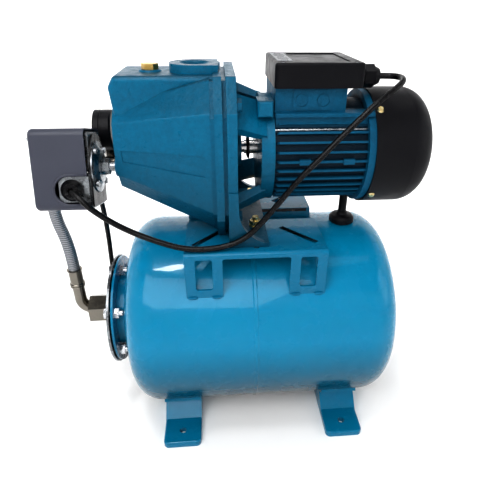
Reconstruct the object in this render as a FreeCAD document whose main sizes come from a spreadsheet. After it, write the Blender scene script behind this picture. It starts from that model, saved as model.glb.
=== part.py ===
import FreeCAD, Part
import Sketcher
import math
import operator
import os
import types

# Water booster set: a jet pump and its motor on a saddle over a steel pressure tank, with a
# pressure switch, a gauge and a braided hose from the pump to the tank.
# +X runs from the pump's nose to the motor's fan, +Y away from the switch's cable side, +Z up.
# The origin lies on the floor, at the middle of the four floor bolts.

sizes = {
    # tank
    "tank_radius": 135, "tank_axis": 142, "tank_half": 139, "head_depth": 55, "head_knuckle": 40,
    "tank_wall": 2, "collar_radius": 56, "rim_radius": 77, "rim_thick": 3, "lip_thick": 2,
    "seam_place": -12, "seam_width": 6, "seam_proud": 1,
    "flange_face": -208.3, "flange_radius": 79, "flange_thick": 3, "flange_pitch": 65,
    "flange_hole": 4.3, "flange_shank": 4, "nipple_radius": 13, "nipple_bore": 9, "nipple_reach": 30,
    "bag_neck": 52, "bag_radius": 108, "bag_wall": 2, "bag_straight": 40, "bag_shoulder": -150,
    "valve_radius": 4.2, "valve_cap_radius": 13, "valve_cap_length": 22,
    # tank feet
    "foot_place": 115, "foot_wide": 52, "foot_reach": 140, "foot_pad_high": 9, "foot_pad_long": 40,
    "foot_rise_y": 82, "foot_rise_z": 27.5, "foot_lip_y": 94, "foot_lip_z": 38, "foot_top": 42,
    "foot_sheet": 2.5, "foot_hole_y": 120, "foot_hole": 4.7,
    # saddle
    "saddle_left": -96.7, "saddle_long": 172, "saddle_half": 103.3, "saddle_top": 291,
    "saddle_sheet": 3, "valley_half": 17, "valley_floor": 280, "valley_flat": 13,
    "leg_wide": 45, "leg_bottom": 224, "apron": 7.5, "window_wide": 20.5, "window_high": 43,
    "window_low": 240, "slot_wide": 8, "slot_long": 58,
    # pump
    "pump_axis": 387.5, "nose_face": -170, "nose_axis": 402,
    "nose_half": 52, "nose_top": 447, "nose_bottom": 352, "cone_end": -60, "cone_half": 82,
    "cone_top": 478, "cone_bottom": 300, "body_face": -47, "body_flange_thick": 9,
    "flange_half": 88, "flange_high": 94.5, "flange_cut_y": 28, "flange_cut_z": 33,
    "block_half": 40, "block_top": 479.5, "block_low": 400, "port_radius": 15.15,
    "discharge_place": -77, "discharge_boss": 29, "discharge_top": 489, "discharge_depth": 27,
    "suction_height": 445, "suction_depth": 30, "plug_place": -128, "plug_pad": 12,
    "plug_thread": 8.3, "plug_flats": 17, "plug_head": 6,
    "chamber_radius": 70, "chamber_depth": 28, "nose_chamber": 44, "nose_chamber_front": -160,
    "cover_thick": 4.4, "cup_radius": 24, "cup_end": -24, "cup_bore": 18, "cup_hole": 10.5,
    "bracket_thick": 11, "arm_wide": 44, "arm_narrow": 26, "arm_outer": 84, "arm_deep": 14,
    "shield_front": -3, "shield_back": 12.5, "shield_radius": 66, "shoulder_out": 59,
    "shoulder_in": 30, "shoulder_top": 456, "shoulder_low": 438, "hub_radius": 27, "pad_thick": 6,
    "pad_front": 5, "pad_half": 90,
    "bolt_offset": 66, "bolt_shank": 4, "bolt_flats": 13, "bolt_head": 5.5,
    "foot_bolt_x": -8, "foot_bolt_y": 45,
    # shaft line
    "shaft_small": 7, "shaft_seat": 8.5, "shaft_core": 11, "shaft_rear": 7.5,
    "bearing_outer": 20, "bearing_width": 12, "bearing_front": -2,
    "rear_outer": 17.5, "rear_width": 11, "rear_front": 125, "run_gap": 0.05,
    "impeller_radius": 60, "impeller_front": -72, "impeller_wide": 14,
    "rotor_radius": 32, "rotor_start": 30, "rotor_long": 70, "air_gap": 0.5,
    "stator_radius": 56, "fan_radius": 58, "fan_start": 158, "fan_wide": 22,
    # motor shell
    "frame_start": 12.5, "frame_end": 127, "frame_bore": 56.3, "frame_root": 60, "fin_tip": 65,
    "fin_thick": 2.6, "fin_step": 10, "tie_radius": 58.6, "tie_rod": 1.9, "tie_hole": 2.05,
    "base_left": 12.8, "base_right": 94, "base_half": 46, "base_low": 430, "lid_low": 468,
    "shelf_half": 54, "shelf_low": 437, "shelf_thick": 4, "panel_left": 33, "panel_right": 78,
    "knockout_radius": 7.5, "knockout_a": 42.5, "knockout_b": 67, "knockout_high": 454.5,
    "cover_start": 129, "cover_radius": 72.5, "cover_straight": 176, "cover_end": 206,
    "cover_flat": 48, "cover_wall": 2.2, "rear_shield_radius": 63, "rim_start": 121,
    "rim_end": 142, "frame_rim": 70,
    "lid_left": 11, "lid_right": 110, "lid_half": 54, "lid_top": 494.5, "lid_wall": 2.5,
    "gland_y": -20, "gland_z": 476, "gland_radius": 11.5, "gland_long": 26,
    "stud_place": 118, "stud_mouth": 322, "stud_radius": 5.5, "knob_radius": 17, "knob_bottom": 277.3,
    # pressure switch, about its own middle line
    "switch_y": -35, "switch_z": 377, "switch_roll": -16, "switch_left": -260,
    "switch_plate": -199.5, "plate_thick": 2.5, "switch_half": 33, "switch_high": 44,
    "switch_low": -47.5, "plate_half": 26, "plate_low": -46, "plate_high": 40,
    "switch_wall": 2, "entry_place": -217, "entry_slot": -220, "entry_low": -24,
    "entry_radius": 15.5, "grommet_radius": 12.3,
    "disc_radius": 30, "neck_flats": 17, "neck_thread": 5.7,
    # gauge and hose end at the pump's nose
    "gauge_y": 38, "gauge_z": 401, "gauge_radius": 26, "gauge_left": -209, "gauge_back": -187,
    "gauge_port_y": 40, "gauge_port_z": 362, "hose_port_y": 12, "hose_port_z": 364,
    "tail_radius": 8.25, "tail_bend": 18, "tail_x": -262.5, "tail_top": 184,
    # free lines
    "hose_radius": 8, "cable_radius": 3.4, "coil_middle": 37, "coil_wide": 18, "coil_high": 14,
    "coil_x": 0, "coil_y": 128, "plug_start": 20, "plug_y": 172,
}

doc = FreeCAD.newDocument("booster_set")
sheet = doc.addObject("Spreadsheet::Sheet", "dims")
for row, (alias, value) in enumerate(sizes.items(), start=1):
    sheet.set(f"A{row}", alias)
    sheet.set(f"B{row}", str(value))
    sheet.setAlias(f"B{row}", alias)
doc.recompute()

signs = {"+": operator.add, "-": operator.sub, "*": operator.mul, "/": operator.truediv}


class Size:
    # a length: its value now and the sheet expression that gives it
    def __init__(self, value, text):
        self.value = value
        self.text = text

    def __add__(self, other):
        return combined(self, "+", other)

    def __radd__(self, other):
        return combined(other, "+", self)

    def __sub__(self, other):
        return combined(self, "-", other)

    def __rsub__(self, other):
        return combined(other, "-", self)

    def __mul__(self, other):
        return combined(self, "*", other)

    def __rmul__(self, other):
        return combined(other, "*", self)

    def __truediv__(self, other):
        return combined(self, "/", other)

    def __neg__(self):
        return combined(0, "-", self)


def sized(item):
    if isinstance(item, Size):
        return item
    return Size(float(item), f"({float(item):.6f})")


def combined(left, sign, right):
    left = sized(left)
    right = sized(right)
    value = signs[sign](left.value, right.value)
    return Size(value, f"({left.text} {sign} {right.text})")


def root(size):
    return Size(math.sqrt(size.value), f"sqrt({size.text})")


s = types.SimpleNamespace(**{a: Size(float(v), f"dims.{a}") for a, v in sizes.items()})

directions = {
    "x": (1, 0, 0), "y": (0, 1, 0), "z": (0, 0, 1),
    "-x": (-1, 0, 0), "-y": (0, -1, 0), "-z": (0, 0, -1),
}
nodes = []


def bind(item, prop, size):
    item.setExpression(prop, sized(size).text)


def turned_to(axis):
    return FreeCAD.Rotation(FreeCAD.Vector(0, 0, 1), FreeCAD.Vector(*directions[axis]))


def place(item, start, rotation=FreeCAD.Rotation()):
    item.Placement = FreeCAD.Placement(FreeCAD.Vector(), rotation)
    for letter, size in zip("xyz", start):
        bind(item, f"Placement.Base.{letter}", size)


def rod(name, radius, start, length, axis="x"):
    item = doc.addObject("Part::Cylinder", name)
    bind(item, "Radius", radius)
    bind(item, "Height", length)
    place(item, start, turned_to(axis))
    return item


def cone(name, near, far, start, length, axis="x"):
    item = doc.addObject("Part::Cone", name)
    bind(item, "Radius1", near)
    bind(item, "Radius2", far)
    bind(item, "Height", length)
    place(item, start, turned_to(axis))
    return item


def block(name, low, high, rotation=FreeCAD.Rotation()):
    item = doc.addObject("Part::Box", name)
    for prop, low_size, high_size in zip(("Length", "Width", "Height"), low, high):
        bind(item, prop, sized(high_size) - low_size)
    place(item, low, rotation)
    return item


def ball(name, radius, centre):
    item = doc.addObject("Part::Sphere", name)
    bind(item, "Radius", radius)
    place(item, centre)
    return item


def ring(name, middle, section, centre, axis="x"):
    item = doc.addObject("Part::Torus", name)
    bind(item, "Radius1", middle)
    bind(item, "Radius2", section)
    place(item, centre, turned_to(axis))
    return item


def hexagon(name, flats, start, height, axis="x"):
    item = doc.addObject("Part::Prism", name)
    item.Polygon = 6
    bind(item, "Circumradius", flats * (1 / math.sqrt(3)))
    bind(item, "Height", height)
    place(item, start, turned_to(axis))
    return item


def cut(name, base, *tools):
    item = doc.addObject("Part::Cut", name)
    item.Base = base
    item.Tool = tools[0] if len(tools) == 1 else join(f"{name}_tools", *tools)
    return item


def join(name, *parts):
    item = doc.addObject("Part::MultiFuse", name)
    item.Shapes = list(parts)
    return item


def bundle(name, *parts):
    item = doc.addObject("Part::Compound", name)
    item.Links = list(parts)
    return item


def tube(name, outer, inner, start, length, axis="x"):
    return cut(name, rod(f"{name}_outside", outer, start, length, axis),
               rod(f"{name}_inside", inner, start, length, axis))


def around(count, radius, centre, first=0.0):
    # positions on a circle square to X, as (x, y, z)
    spots = []
    for index in range(count):
        turn = math.radians(first + 360.0 * index / count)
        y = centre[1] + radius * math.cos(turn)
        z = centre[2] + radius * math.sin(turn)
        spots.append((centre[0], y, z))
    return spots


def arc_between(start, end, radius, bend):
    # the minor arc from start to end, to the left when bend is 1 and to the right when it is -1
    dx = end[0] - start[0]
    dy = end[1] - start[1]
    chord = math.hypot(dx, dy)
    rise = math.sqrt(radius * radius - chord * chord / 4)
    x = (start[0] + end[0]) / 2 - bend * rise * dy / chord
    y = (start[1] + end[1]) / 2 + bend * rise * dx / chord
    first, last = (start, end) if bend > 0 else (end, start)
    circle = Part.Circle(FreeCAD.Vector(x, y, 0), FreeCAD.Vector(0, 0, 1), radius)
    return Part.ArcOfCircle(circle, math.atan2(first[1] - y, first[0] - x),
                            math.atan2(last[1] - y, last[0] - x))


def sketch_on(body, plane, outline):
    sketch = body.newObject("Sketcher::SketchObject", f"{body.Name}_sketch")
    base = [item for item in body.Origin.OriginFeatures if item.Role == plane][0]
    sketch.AttachmentSupport = [(base, "")]
    sketch.MapMode = "FlatFace"
    draw(sketch, outline)
    return sketch


def section(name, outline, x):
    # a free outline in (y, z), square to X
    sketch = doc.addObject("Sketcher::SketchObject", name)
    draw(sketch, outline)
    place(sketch, (x, 0, 0), FreeCAD.Rotation(FreeCAD.Vector(1, 1, 1), 120))
    return sketch


def draw(sketch, outline):
    # outline: corners (u, v), or (u, v, radius, bend) where an arc leaves the corner
    spots = [(sized(corner[0]).value, sized(corner[1]).value) for corner in outline]
    count = len(outline)
    for index, corner in enumerate(outline):
        start = spots[index]
        end = spots[(index + 1) % count]
        if len(corner) == 4:
            sketch.addGeometry(arc_between(start, end, sized(corner[2]).value, corner[3]), False)
        else:
            line = Part.LineSegment(FreeCAD.Vector(*start, 0), FreeCAD.Vector(*end, 0))
            sketch.addGeometry(line, False)
    ends = [(2, 1) if len(corner) == 4 and corner[3] < 0 else (1, 2) for corner in outline]
    for index in range(count):
        after = (index + 1) % count
        sketch.addConstraint(Sketcher.Constraint("Coincident", index, ends[index][1],
                                                 after, ends[after][0]))
    for index, corner in enumerate(outline):
        pin(sketch, "DistanceX", index, ends[index][0], corner[0])
        pin(sketch, "DistanceY", index, ends[index][0], corner[1])
        if len(corner) == 4:
            number = sketch.addConstraint(Sketcher.Constraint("Radius", index,
                                                              sized(corner[2]).value))
            bind(sketch, f"Constraints[{number}]", corner[2])


def pin(sketch, kind, geometry, end, size):
    number = sketch.addConstraint(Sketcher.Constraint(kind, geometry, end, sized(size).value))
    bind(sketch, f"Constraints[{number}]", size)


def turned(name, outline, start, about="H_Axis"):
    # a body of revolution: outline in (along, radius) for H_Axis, (radius, up) for V_Axis
    body = doc.addObject("PartDesign::Body", name)
    sketch = sketch_on(body, "XZ_Plane", outline)
    turn = body.newObject("PartDesign::Revolution", f"{name}_turn")
    turn.Profile = sketch
    turn.ReferenceAxis = (sketch, [about])
    turn.Angle = 360
    place(body, start)
    return body


def slab(name, plane, outline, thick, start, rotation=FreeCAD.Rotation()):
    # a padded outline: from YZ_Plane along +X, from XZ_Plane along -Y, from XY_Plane along +Z
    body = doc.addObject("PartDesign::Body", name)
    sketch = sketch_on(body, plane, outline)
    pad = body.newObject("PartDesign::Pad", f"{name}_pad")
    pad.Profile = sketch
    bind(pad, "Length", thick)
    place(body, start, rotation)
    return body


def rounded(body, radius, keep):
    # fillets the body's edges for which keep(edge) is true
    doc.recompute()
    tip = body.Tip
    edges = [f"Edge{n + 1}" for n, edge in enumerate(tip.Shape.Edges) if keep(edge)]
    fillet = body.newObject("PartDesign::Fillet", f"{body.Name}_round{len(body.Group)}")
    fillet.Base = (tip, edges)
    bind(fillet, "Radius", radius)
    return body


def along(edge, axis):
    # true for a straight edge that runs along the axis
    if edge.Curve.TypeId != "Part::GeomLine":
        return False
    way = edge.Vertexes[1].Point - edge.Vertexes[0].Point
    return abs(way.dot(FreeCAD.Vector(*directions[axis]))) > 0.999 * way.Length


def node(label, item):
    item.Label = label
    nodes.append(item)
    return item


def mirrored_outline(half):
    # closes a half outline given from the outer end to the middle, over the V axis
    return half + [(-corner[0], corner[1]) for corner in reversed(half)]


def path_wire(points, radius_share=0.48, bend=None):
    # straight runs joined by tangent arcs, one at each inner point; returns the wire and radii
    spots = [FreeCAD.Vector(*point) for point in points]
    edges = []
    radii = []
    last = spots[0]
    for before, corner, after in zip(spots, spots[1:], spots[2:]):
        into = (corner - before).normalize()
        out = (after - corner).normalize()
        half_turn = into.getAngle(out) / 2
        shorter = min((corner - before).Length, (after - corner).Length)
        back = bend * math.tan(half_turn) if bend else radius_share * shorter
        start = corner - into * back
        end = corner + out * back
        inward = (out - into).normalize()
        radius = back / math.tan(half_turn)
        middle = corner + inward * (radius / math.cos(half_turn) - radius)
        edges.append(Part.LineSegment(last, start).toShape())
        edges.append(Part.Arc(start, middle, end).toShape())
        radii.append(radius)
        last = end
    edges.append(Part.LineSegment(last, spots[-1]).toShape())
    return Part.Wire(edges), radii


def swept(name, points, radius, bend=None):
    # a round line along the points, as one solid
    wire, radii = path_wire(points, bend=bend)
    first = FreeCAD.Vector(*points[0])
    way = FreeCAD.Vector(*points[1]) - first
    section = Part.Wire(Part.makeCircle(radius, first, way))
    solid = wire.makePipeShell([section], True, False)
    item = doc.addObject("Part::Feature", name)
    item.Shape = solid
    ratio = solid.Volume / (math.pi * radius ** 2 * wire.Length)
    shown = ", ".join(f"{size:.0f}" for size in radii)
    print(f"{name}: length {wire.Length:.1f} mm, volume ratio {ratio:.4f}, radii {shown}")
    return item


# ---------- pressure tank ----------

crown = ((s.tank_radius - s.head_knuckle) * (s.tank_radius - s.head_knuckle)
         + s.head_depth * s.head_depth - s.head_knuckle * s.head_knuckle) / (
             2 * (s.head_depth - s.head_knuckle))
crown_centre = s.tank_half + s.head_depth - crown
rim_front = s.flange_face + s.flange_thick + s.lip_thick
rim_back = rim_front + s.rim_thick


def head_tangent(inset):
    # where the crown meets the knuckle, as (x, radius) on the +X head
    reach = crown - s.head_knuckle
    x = crown_centre + (crown - inset) * (crown - s.head_depth) / reach
    radius = (crown - inset) * (s.tank_radius - s.head_knuckle) / reach
    return x, radius


def crown_x(radius, inset):
    # how far out the crown lies at a radius
    reach = crown - inset
    return crown_centre + root(reach * reach - radius * radius)


def tank_outline():
    wall = s.tank_wall
    neck = s.collar_radius - wall
    out_x, out_r = head_tangent(0)
    in_x, in_r = head_tangent(wall)
    knuckle = s.head_knuckle
    inner = s.tank_radius - wall
    return [
        (rim_front, neck), (rim_front, s.rim_radius), (rim_back, s.rim_radius),
        (rim_back, s.collar_radius), (-crown_x(s.collar_radius, 0), s.collar_radius, crown, -1),
        (-out_x, out_r, knuckle, -1), (-s.tank_half, s.tank_radius),
        (s.tank_half, s.tank_radius, knuckle, -1), (out_x, out_r, crown, -1),
        (crown_x(s.valve_radius, 0), s.valve_radius),
        (crown_x(s.valve_radius, wall), s.valve_radius, crown - wall, 1),
        (in_x, in_r, knuckle - wall, 1), (s.tank_half, inner),
        (-s.tank_half, inner, knuckle - wall, 1), (-in_x, in_r, crown - wall, 1),
        (-crown_x(neck, wall), neck),
    ]


def flange_spots(x, count=6):
    return around(count, s.flange_pitch, (x, 0, s.tank_axis), 30)


def make_tank():
    tank_line = (0, 0, s.tank_axis)
    shell = turned("shell_body", tank_outline(), tank_line)
    holes = [rod(f"rim_hole{n}", s.flange_hole, spot, s.rim_thick + 2)
             for n, spot in enumerate(flange_spots(rim_front - 1))]
    seam_half = s.seam_width / 2
    seam = turned("seam", [
        (s.seam_place - seam_half, s.tank_radius - 0.5),
        (s.seam_place - seam_half, s.tank_radius),
        (s.seam_place - seam_half / 2, s.tank_radius + s.seam_proud),
        (s.seam_place + seam_half / 2, s.tank_radius + s.seam_proud),
        (s.seam_place + seam_half, s.tank_radius),
        (s.seam_place + seam_half, s.tank_radius - 0.5)], tank_line)
    node("tank_shell", cut("shell_drilled", join("shell_seamed", shell, seam), *holes))
    lip = s.flange_face + s.flange_thick
    wall = s.bag_wall
    node("tank_membrane", turned("bag", [
        (lip, s.bag_neck - wall), (lip, s.bag_neck + 8), (rim_front, s.bag_neck + 8),
        (rim_front, s.bag_neck), (-crown_x(s.bag_neck, 0) + wall, s.bag_neck),
        (s.bag_shoulder, s.bag_radius), (s.bag_straight, s.bag_radius, s.bag_radius, -1),
        (s.bag_straight + s.bag_radius, 0),
        (s.bag_straight + s.bag_radius - wall, 0, s.bag_radius - wall, 1),
        (s.bag_straight, s.bag_radius - wall), (s.bag_shoulder, s.bag_radius - wall),
        (-crown_x(s.bag_neck, 0) + wall, s.bag_neck - wall)], tank_line))
    plate = turned("plate_body", [
        (lip, s.nipple_bore), (lip, s.flange_radius), (s.flange_face, s.flange_radius),
        (s.flange_face, s.nipple_radius + 4), (s.flange_face - 5, s.nipple_radius + 4),
        (s.flange_face - 5, s.nipple_radius), (s.flange_face - s.nipple_reach, s.nipple_radius),
        (s.flange_face - s.nipple_reach, s.nipple_bore)], tank_line)
    holes = [rod(f"plate_hole{n}", s.flange_hole, spot, s.flange_thick + 2)
             for n, spot in enumerate(flange_spots(s.flange_face - 1))]
    node("tank_counterflange", cut("plate_drilled", plate, *holes))
    bolts = []
    nuts = []
    for n, spot in enumerate(flange_spots(s.flange_face)):
        head = hexagon(f"flange_head{n}", s.bolt_flats, spot, s.bolt_head, "-x")
        shank = rod(f"flange_shank{n}", s.flange_shank, spot, 19)
        bolts.append(join(f"flange_bolt{n}", head, shank))
    for n, spot in enumerate(flange_spots(rim_back)):
        blank = hexagon(f"flange_blank{n}", s.bolt_flats, spot, 6.5)
        bore = rod(f"flange_thread{n}", s.flange_shank, spot, 7)
        nuts.append(cut(f"flange_nut{n}", blank, bore))
    node("flange_fixings", bundle("flange_set", *bolts, *nuts))
    tip = s.tank_half + s.head_depth
    node("air_valve", turned("valve_body", [
        (tip - 8, 0), (tip - 8, s.valve_radius), (tip, s.valve_radius), (tip, 9), (tip + 3, 9),
        (tip + 3, s.valve_radius), (tip + 16, s.valve_radius), (tip + 16, 0)], tank_line))
    cap_end = tip + s.valve_cap_length
    node("air_valve_cap", turned("cap_body", [
        (tip + 0.5, s.valve_cap_radius - 2), (tip + 0.5, s.valve_cap_radius),
        (cap_end - 2, s.valve_cap_radius), (cap_end, s.valve_cap_radius - 2), (cap_end, 0),
        (tip + 17, 0), (tip + 17, s.valve_cap_radius - 2)], tank_line))


def make_foot(side, label):
    reach = s.foot_reach
    sheet_thick = s.foot_sheet
    slope_y = reach - s.foot_pad_long
    outside = slab(f"{label}_outside", "YZ_Plane", mirrored_outline([
        (-reach, 0), (-reach, s.foot_pad_high), (-slope_y, s.foot_pad_high),
        (-s.foot_rise_y, s.foot_rise_z), (-s.foot_lip_y, s.foot_lip_z),
        (-s.foot_lip_y + 3, s.foot_top)]), s.foot_wide, (side * s.foot_place - s.foot_wide / 2, 0, 0))
    rounded(outside, 7, lambda edge: along(edge, "z") and edge.Length < 10)
    rounded(outside, 2.5, lambda edge: all(abs(v.Z - sizes["foot_pad_high"]) < 0.01
                                           for v in edge.Vertexes)
            and abs(edge.CenterOfMass.y) > sizes["foot_reach"] - 20)
    inner = slab(f"{label}_inside", "YZ_Plane", mirrored_outline([
        (-reach + sheet_thick, -1), (-reach + sheet_thick, s.foot_pad_high - sheet_thick),
        (-slope_y + 1, s.foot_pad_high - sheet_thick),
        (-s.foot_rise_y + 2, s.foot_rise_z - sheet_thick)]),
        s.foot_wide - 2 * sheet_thick,
        (side * s.foot_place - s.foot_wide / 2 + sheet_thick, 0, 0))
    keep = rod(f"{label}_keep", s.tank_radius + sheet_thick,
               (side * s.foot_place - s.foot_wide, 0, s.tank_axis), 2 * s.foot_wide)
    hollow = cut(f"{label}_hollow", inner, keep)
    barrel = rod(f"{label}_barrel", s.tank_radius,
                 (side * s.foot_place - s.foot_wide, 0, s.tank_axis), 2 * s.foot_wide)
    holes = [rod(f"{label}_hole{n}", s.foot_hole,
                 (side * s.foot_place, way * s.foot_hole_y, -1), s.foot_pad_high + 2, "z")
             for n, way in enumerate((-1, 1))]
    sleeves = [rod(f"{label}_sleeve{n}", s.foot_hole + 3,
                   (side * s.foot_place, way * s.foot_hole_y, 0), s.foot_pad_high - 1, "z")
               for n, way in enumerate((-1, 1))]
    pressed = join(f"{label}_pressed", cut(f"{label}_shell", outside, hollow, barrel), *sleeves)
    node(label, cut(f"{label}_cut", pressed, *holes))


def saddle_hole(name, left, right, low, high, outer):
    # a tool that takes a round-cornered window out of one side of the saddle
    window = slab(name, "XZ_Plane", [(left, low), (right, low), (right, high), (left, high)], 13,
                  (0, outer, 0))
    return rounded(window, 3, lambda edge: along(edge, "y"))


def make_saddle():
    half = s.saddle_half
    top = s.saddle_top
    thick = s.saddle_sheet
    sheet_body = slab("saddle_sheet_body", "YZ_Plane", mirrored_outline([
        (-half, s.leg_bottom), (-half, top), (-s.valley_half, top),
        (-s.valley_flat, s.valley_floor)]) + mirrored_outline([
            (s.valley_flat + 1, s.valley_floor - thick), (s.valley_half + 1, top - thick),
            (half - thick, top - thick), (half - thick, s.leg_bottom)]),
        s.saddle_long, (s.saddle_left, 0, 0))
    corner = sizes["saddle_half"]
    rounded(sheet_body, 5, lambda edge: along(edge, "x") and abs(edge.CenterOfMass.z
            - sizes["saddle_top"]) < 0.01 and abs(edge.CenterOfMass.y) > corner - 0.01)
    rounded(sheet_body, 2, lambda edge: along(edge, "x") and abs(edge.CenterOfMass.z
            - sizes["saddle_top"] + sizes["saddle_sheet"]) < 0.01
            and abs(edge.CenterOfMass.y) > corner - 4)
    tools = [rod("saddle_barrel", s.tank_radius, (s.saddle_left - 5, 0, s.tank_axis),
                 s.saddle_long + 10)]
    tools.append(rod("saddle_seam", s.tank_radius + s.seam_proud + 0.2,
                     (s.seam_place - s.seam_width / 2 - 0.5, 0, s.tank_axis), s.seam_width + 1))
    left_leg = s.saddle_left + s.leg_wide
    right_leg = s.saddle_left + s.saddle_long - s.leg_wide
    for n, outer in enumerate((-half + 5, half + 8)):
        tools.append(saddle_hole(f"saddle_arch{n}", left_leg, right_leg, s.leg_bottom - 5,
                                 top - s.apron, outer))
        for m, edge_x in enumerate((s.saddle_left, right_leg)):
            middle = edge_x + s.leg_wide / 2
            tools.append(saddle_hole(f"leg_window{n}{m}", middle - s.window_wide / 2,
                                     middle + s.window_wide / 2, s.window_low,
                                     s.window_low + s.window_high, outer))
    number = 0
    for way_x in (-1, 1):
        for way_y in (-1, 1):
            spot = (s.saddle_left + s.saddle_long / 2 + way_x * 56, way_y * 61, top - 10)
            bar = block(f"slot_bar{number}", (0, 0, 0), (s.slot_long, s.slot_wide, 20))
            slot = bundle(f"slot{number}", bar)
            turn = FreeCAD.Rotation(FreeCAD.Vector(0, 0, 1), way_x * way_y * 47)
            offset = turn.multVec(FreeCAD.Vector(sizes["slot_long"] / 2, sizes["slot_wide"] / 2, 0))
            place(slot, (spot[0] - offset.x, spot[1] - offset.y, spot[2]), turn)
            tools.append(slot)
            number += 1
    for n, way in enumerate((-1, 1)):
        tools.append(rod(f"saddle_bolt_hole{n}", s.bolt_shank + 0.4,
                         (s.foot_bolt_x, way * s.foot_bolt_y, top - 10), 20, "z"))
        tools.append(rod(f"saddle_spare_hole{n}", 3.5,
                         (s.foot_bolt_x - 2, way * (half - 14), top - 10), 20, "z"))
    node("saddle", cut("saddle_cut", sheet_body, *tools))


# ---------- hose end at the tank ----------

def make_tail_pipe():
    nut_left = s.flange_face - s.nipple_reach - 11
    nut = hexagon("union_blank", 37, (nut_left, 0, s.tank_axis), 24)
    nut_thread = rod("union_thread", s.nipple_radius, (nut_left + 9, 0, s.tank_axis), 20)
    nut_bore = rod("union_bore", s.tail_radius + 1, (nut_left - 1, 0, s.tank_axis), 20)
    node("hose_union_nut", cut("union_cut", nut, nut_thread, nut_bore))
    start = sizes["flange_face"] - sizes["nipple_reach"]
    points = [(start - 2, 0, sizes["tank_axis"]), (sizes["tail_x"], 0, sizes["tank_axis"]),
              (sizes["tail_x"], 0, sizes["tail_top"])]
    outside = swept("tail_outside", points, sizes["tail_radius"], sizes["tail_bend"])
    inside = swept("tail_inside", points, sizes["tail_radius"] - 1.5, sizes["tail_bend"])
    collar = tube("tail_collar", s.nipple_radius - 0.3, s.tail_radius - 1.5,
                  (s.flange_face - s.nipple_reach - 2, 0, s.tank_axis), 2)
    pipe = cut("tail_pipe", outside, inside)
    node("hose_tail_pipe", join("tail_joined", pipe, collar))
    low = turned("ferrule_low", [
        (s.tail_radius, 0), (10.3, 0), (10.3, 2), (9.5, 2.6), (10.3, 3.2), (10.3, 5), (9.1, 6),
        (9.1, 26), (10.3, 27), (10.3, 28), (s.tail_radius, 28)],
        (s.tail_x, 0, s.tail_top - 0.01), "V_Axis")
    low_plug = tube("ferrule_low_plug", s.tail_radius, s.tail_radius - 3,
                    (s.tail_x, 0, s.tail_top), 27.9, "z")
    high_start = s.nose_face - 30.8
    high = turned("ferrule_high", [
        (0, 4), (0, 10.3), (1.5, 10.3), (2.5, 9.1), (15, 9.1), (16, 10.3), (18, 10.3), (18, 4)],
        (high_start, s.hose_port_y, s.hose_port_z))
    neck_x = high_start + 18
    end_nut = hexagon("end_blank", 24, (neck_x, s.hose_port_y, s.hose_port_z), 9)
    end_neck = rod("end_neck", 9.75, (neck_x + 9, s.hose_port_y, s.hose_port_z), 12)
    node("hose_fittings", bundle("fitting_set", join("ferrule_low_set", low, low_plug),
                                 join("ferrule_high_set", high, end_nut, end_neck)))


# ---------- pump ----------

def flange_outline(inset, square_foot=False):
    # the squarish joint face, about the pump's axis; cut corners, or a straight drop to the foot
    half = s.flange_half - inset
    high = s.flange_high - inset
    low = -high if not square_foot else s.saddle_top + 2 - s.pump_axis
    upper = [(-half + s.flange_cut_y, high), (-half, high - s.flange_cut_z)]
    lower = [(-half, low)] if square_foot else [(-half, -high + s.flange_cut_z),
                                                (-half + s.flange_cut_y, -high)]
    left = upper + lower
    return left + [(-corner[0], corner[1]) for corner in reversed(left)]


def body_bolt_spots(x):
    return around(4, s.bolt_offset * math.sqrt(2), (x, 0, s.pump_axis), 45)


def side_panel(name, way):
    # the shallow sunken panel along one side of the cone, as a tool
    front = s.nose_face + 8
    rear = s.cone_end - 8
    near_y = way * (s.nose_half + 1.2)
    far_y = way * (s.cone_half - 3.2)
    top = s.nose_axis - 0.5
    outlines = [
        section(f"{name}_front", [(near_y, top), (near_y + way * 8, top),
                                  (near_y + way * 8, top - 13.5),
                                  (near_y - way * 1.6, top - 13.5)], front),
        section(f"{name}_rear", [(far_y, top), (far_y + way * 8, top),
                                 (far_y + way * 8, top - 24.5),
                                 (far_y - way * 0.8, top - 24.5)], rear)]
    sunk = doc.addObject("Part::Loft", name)
    sunk.Sections = outlines
    sunk.Solid = True
    sunk.Ruled = True
    return sunk


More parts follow.
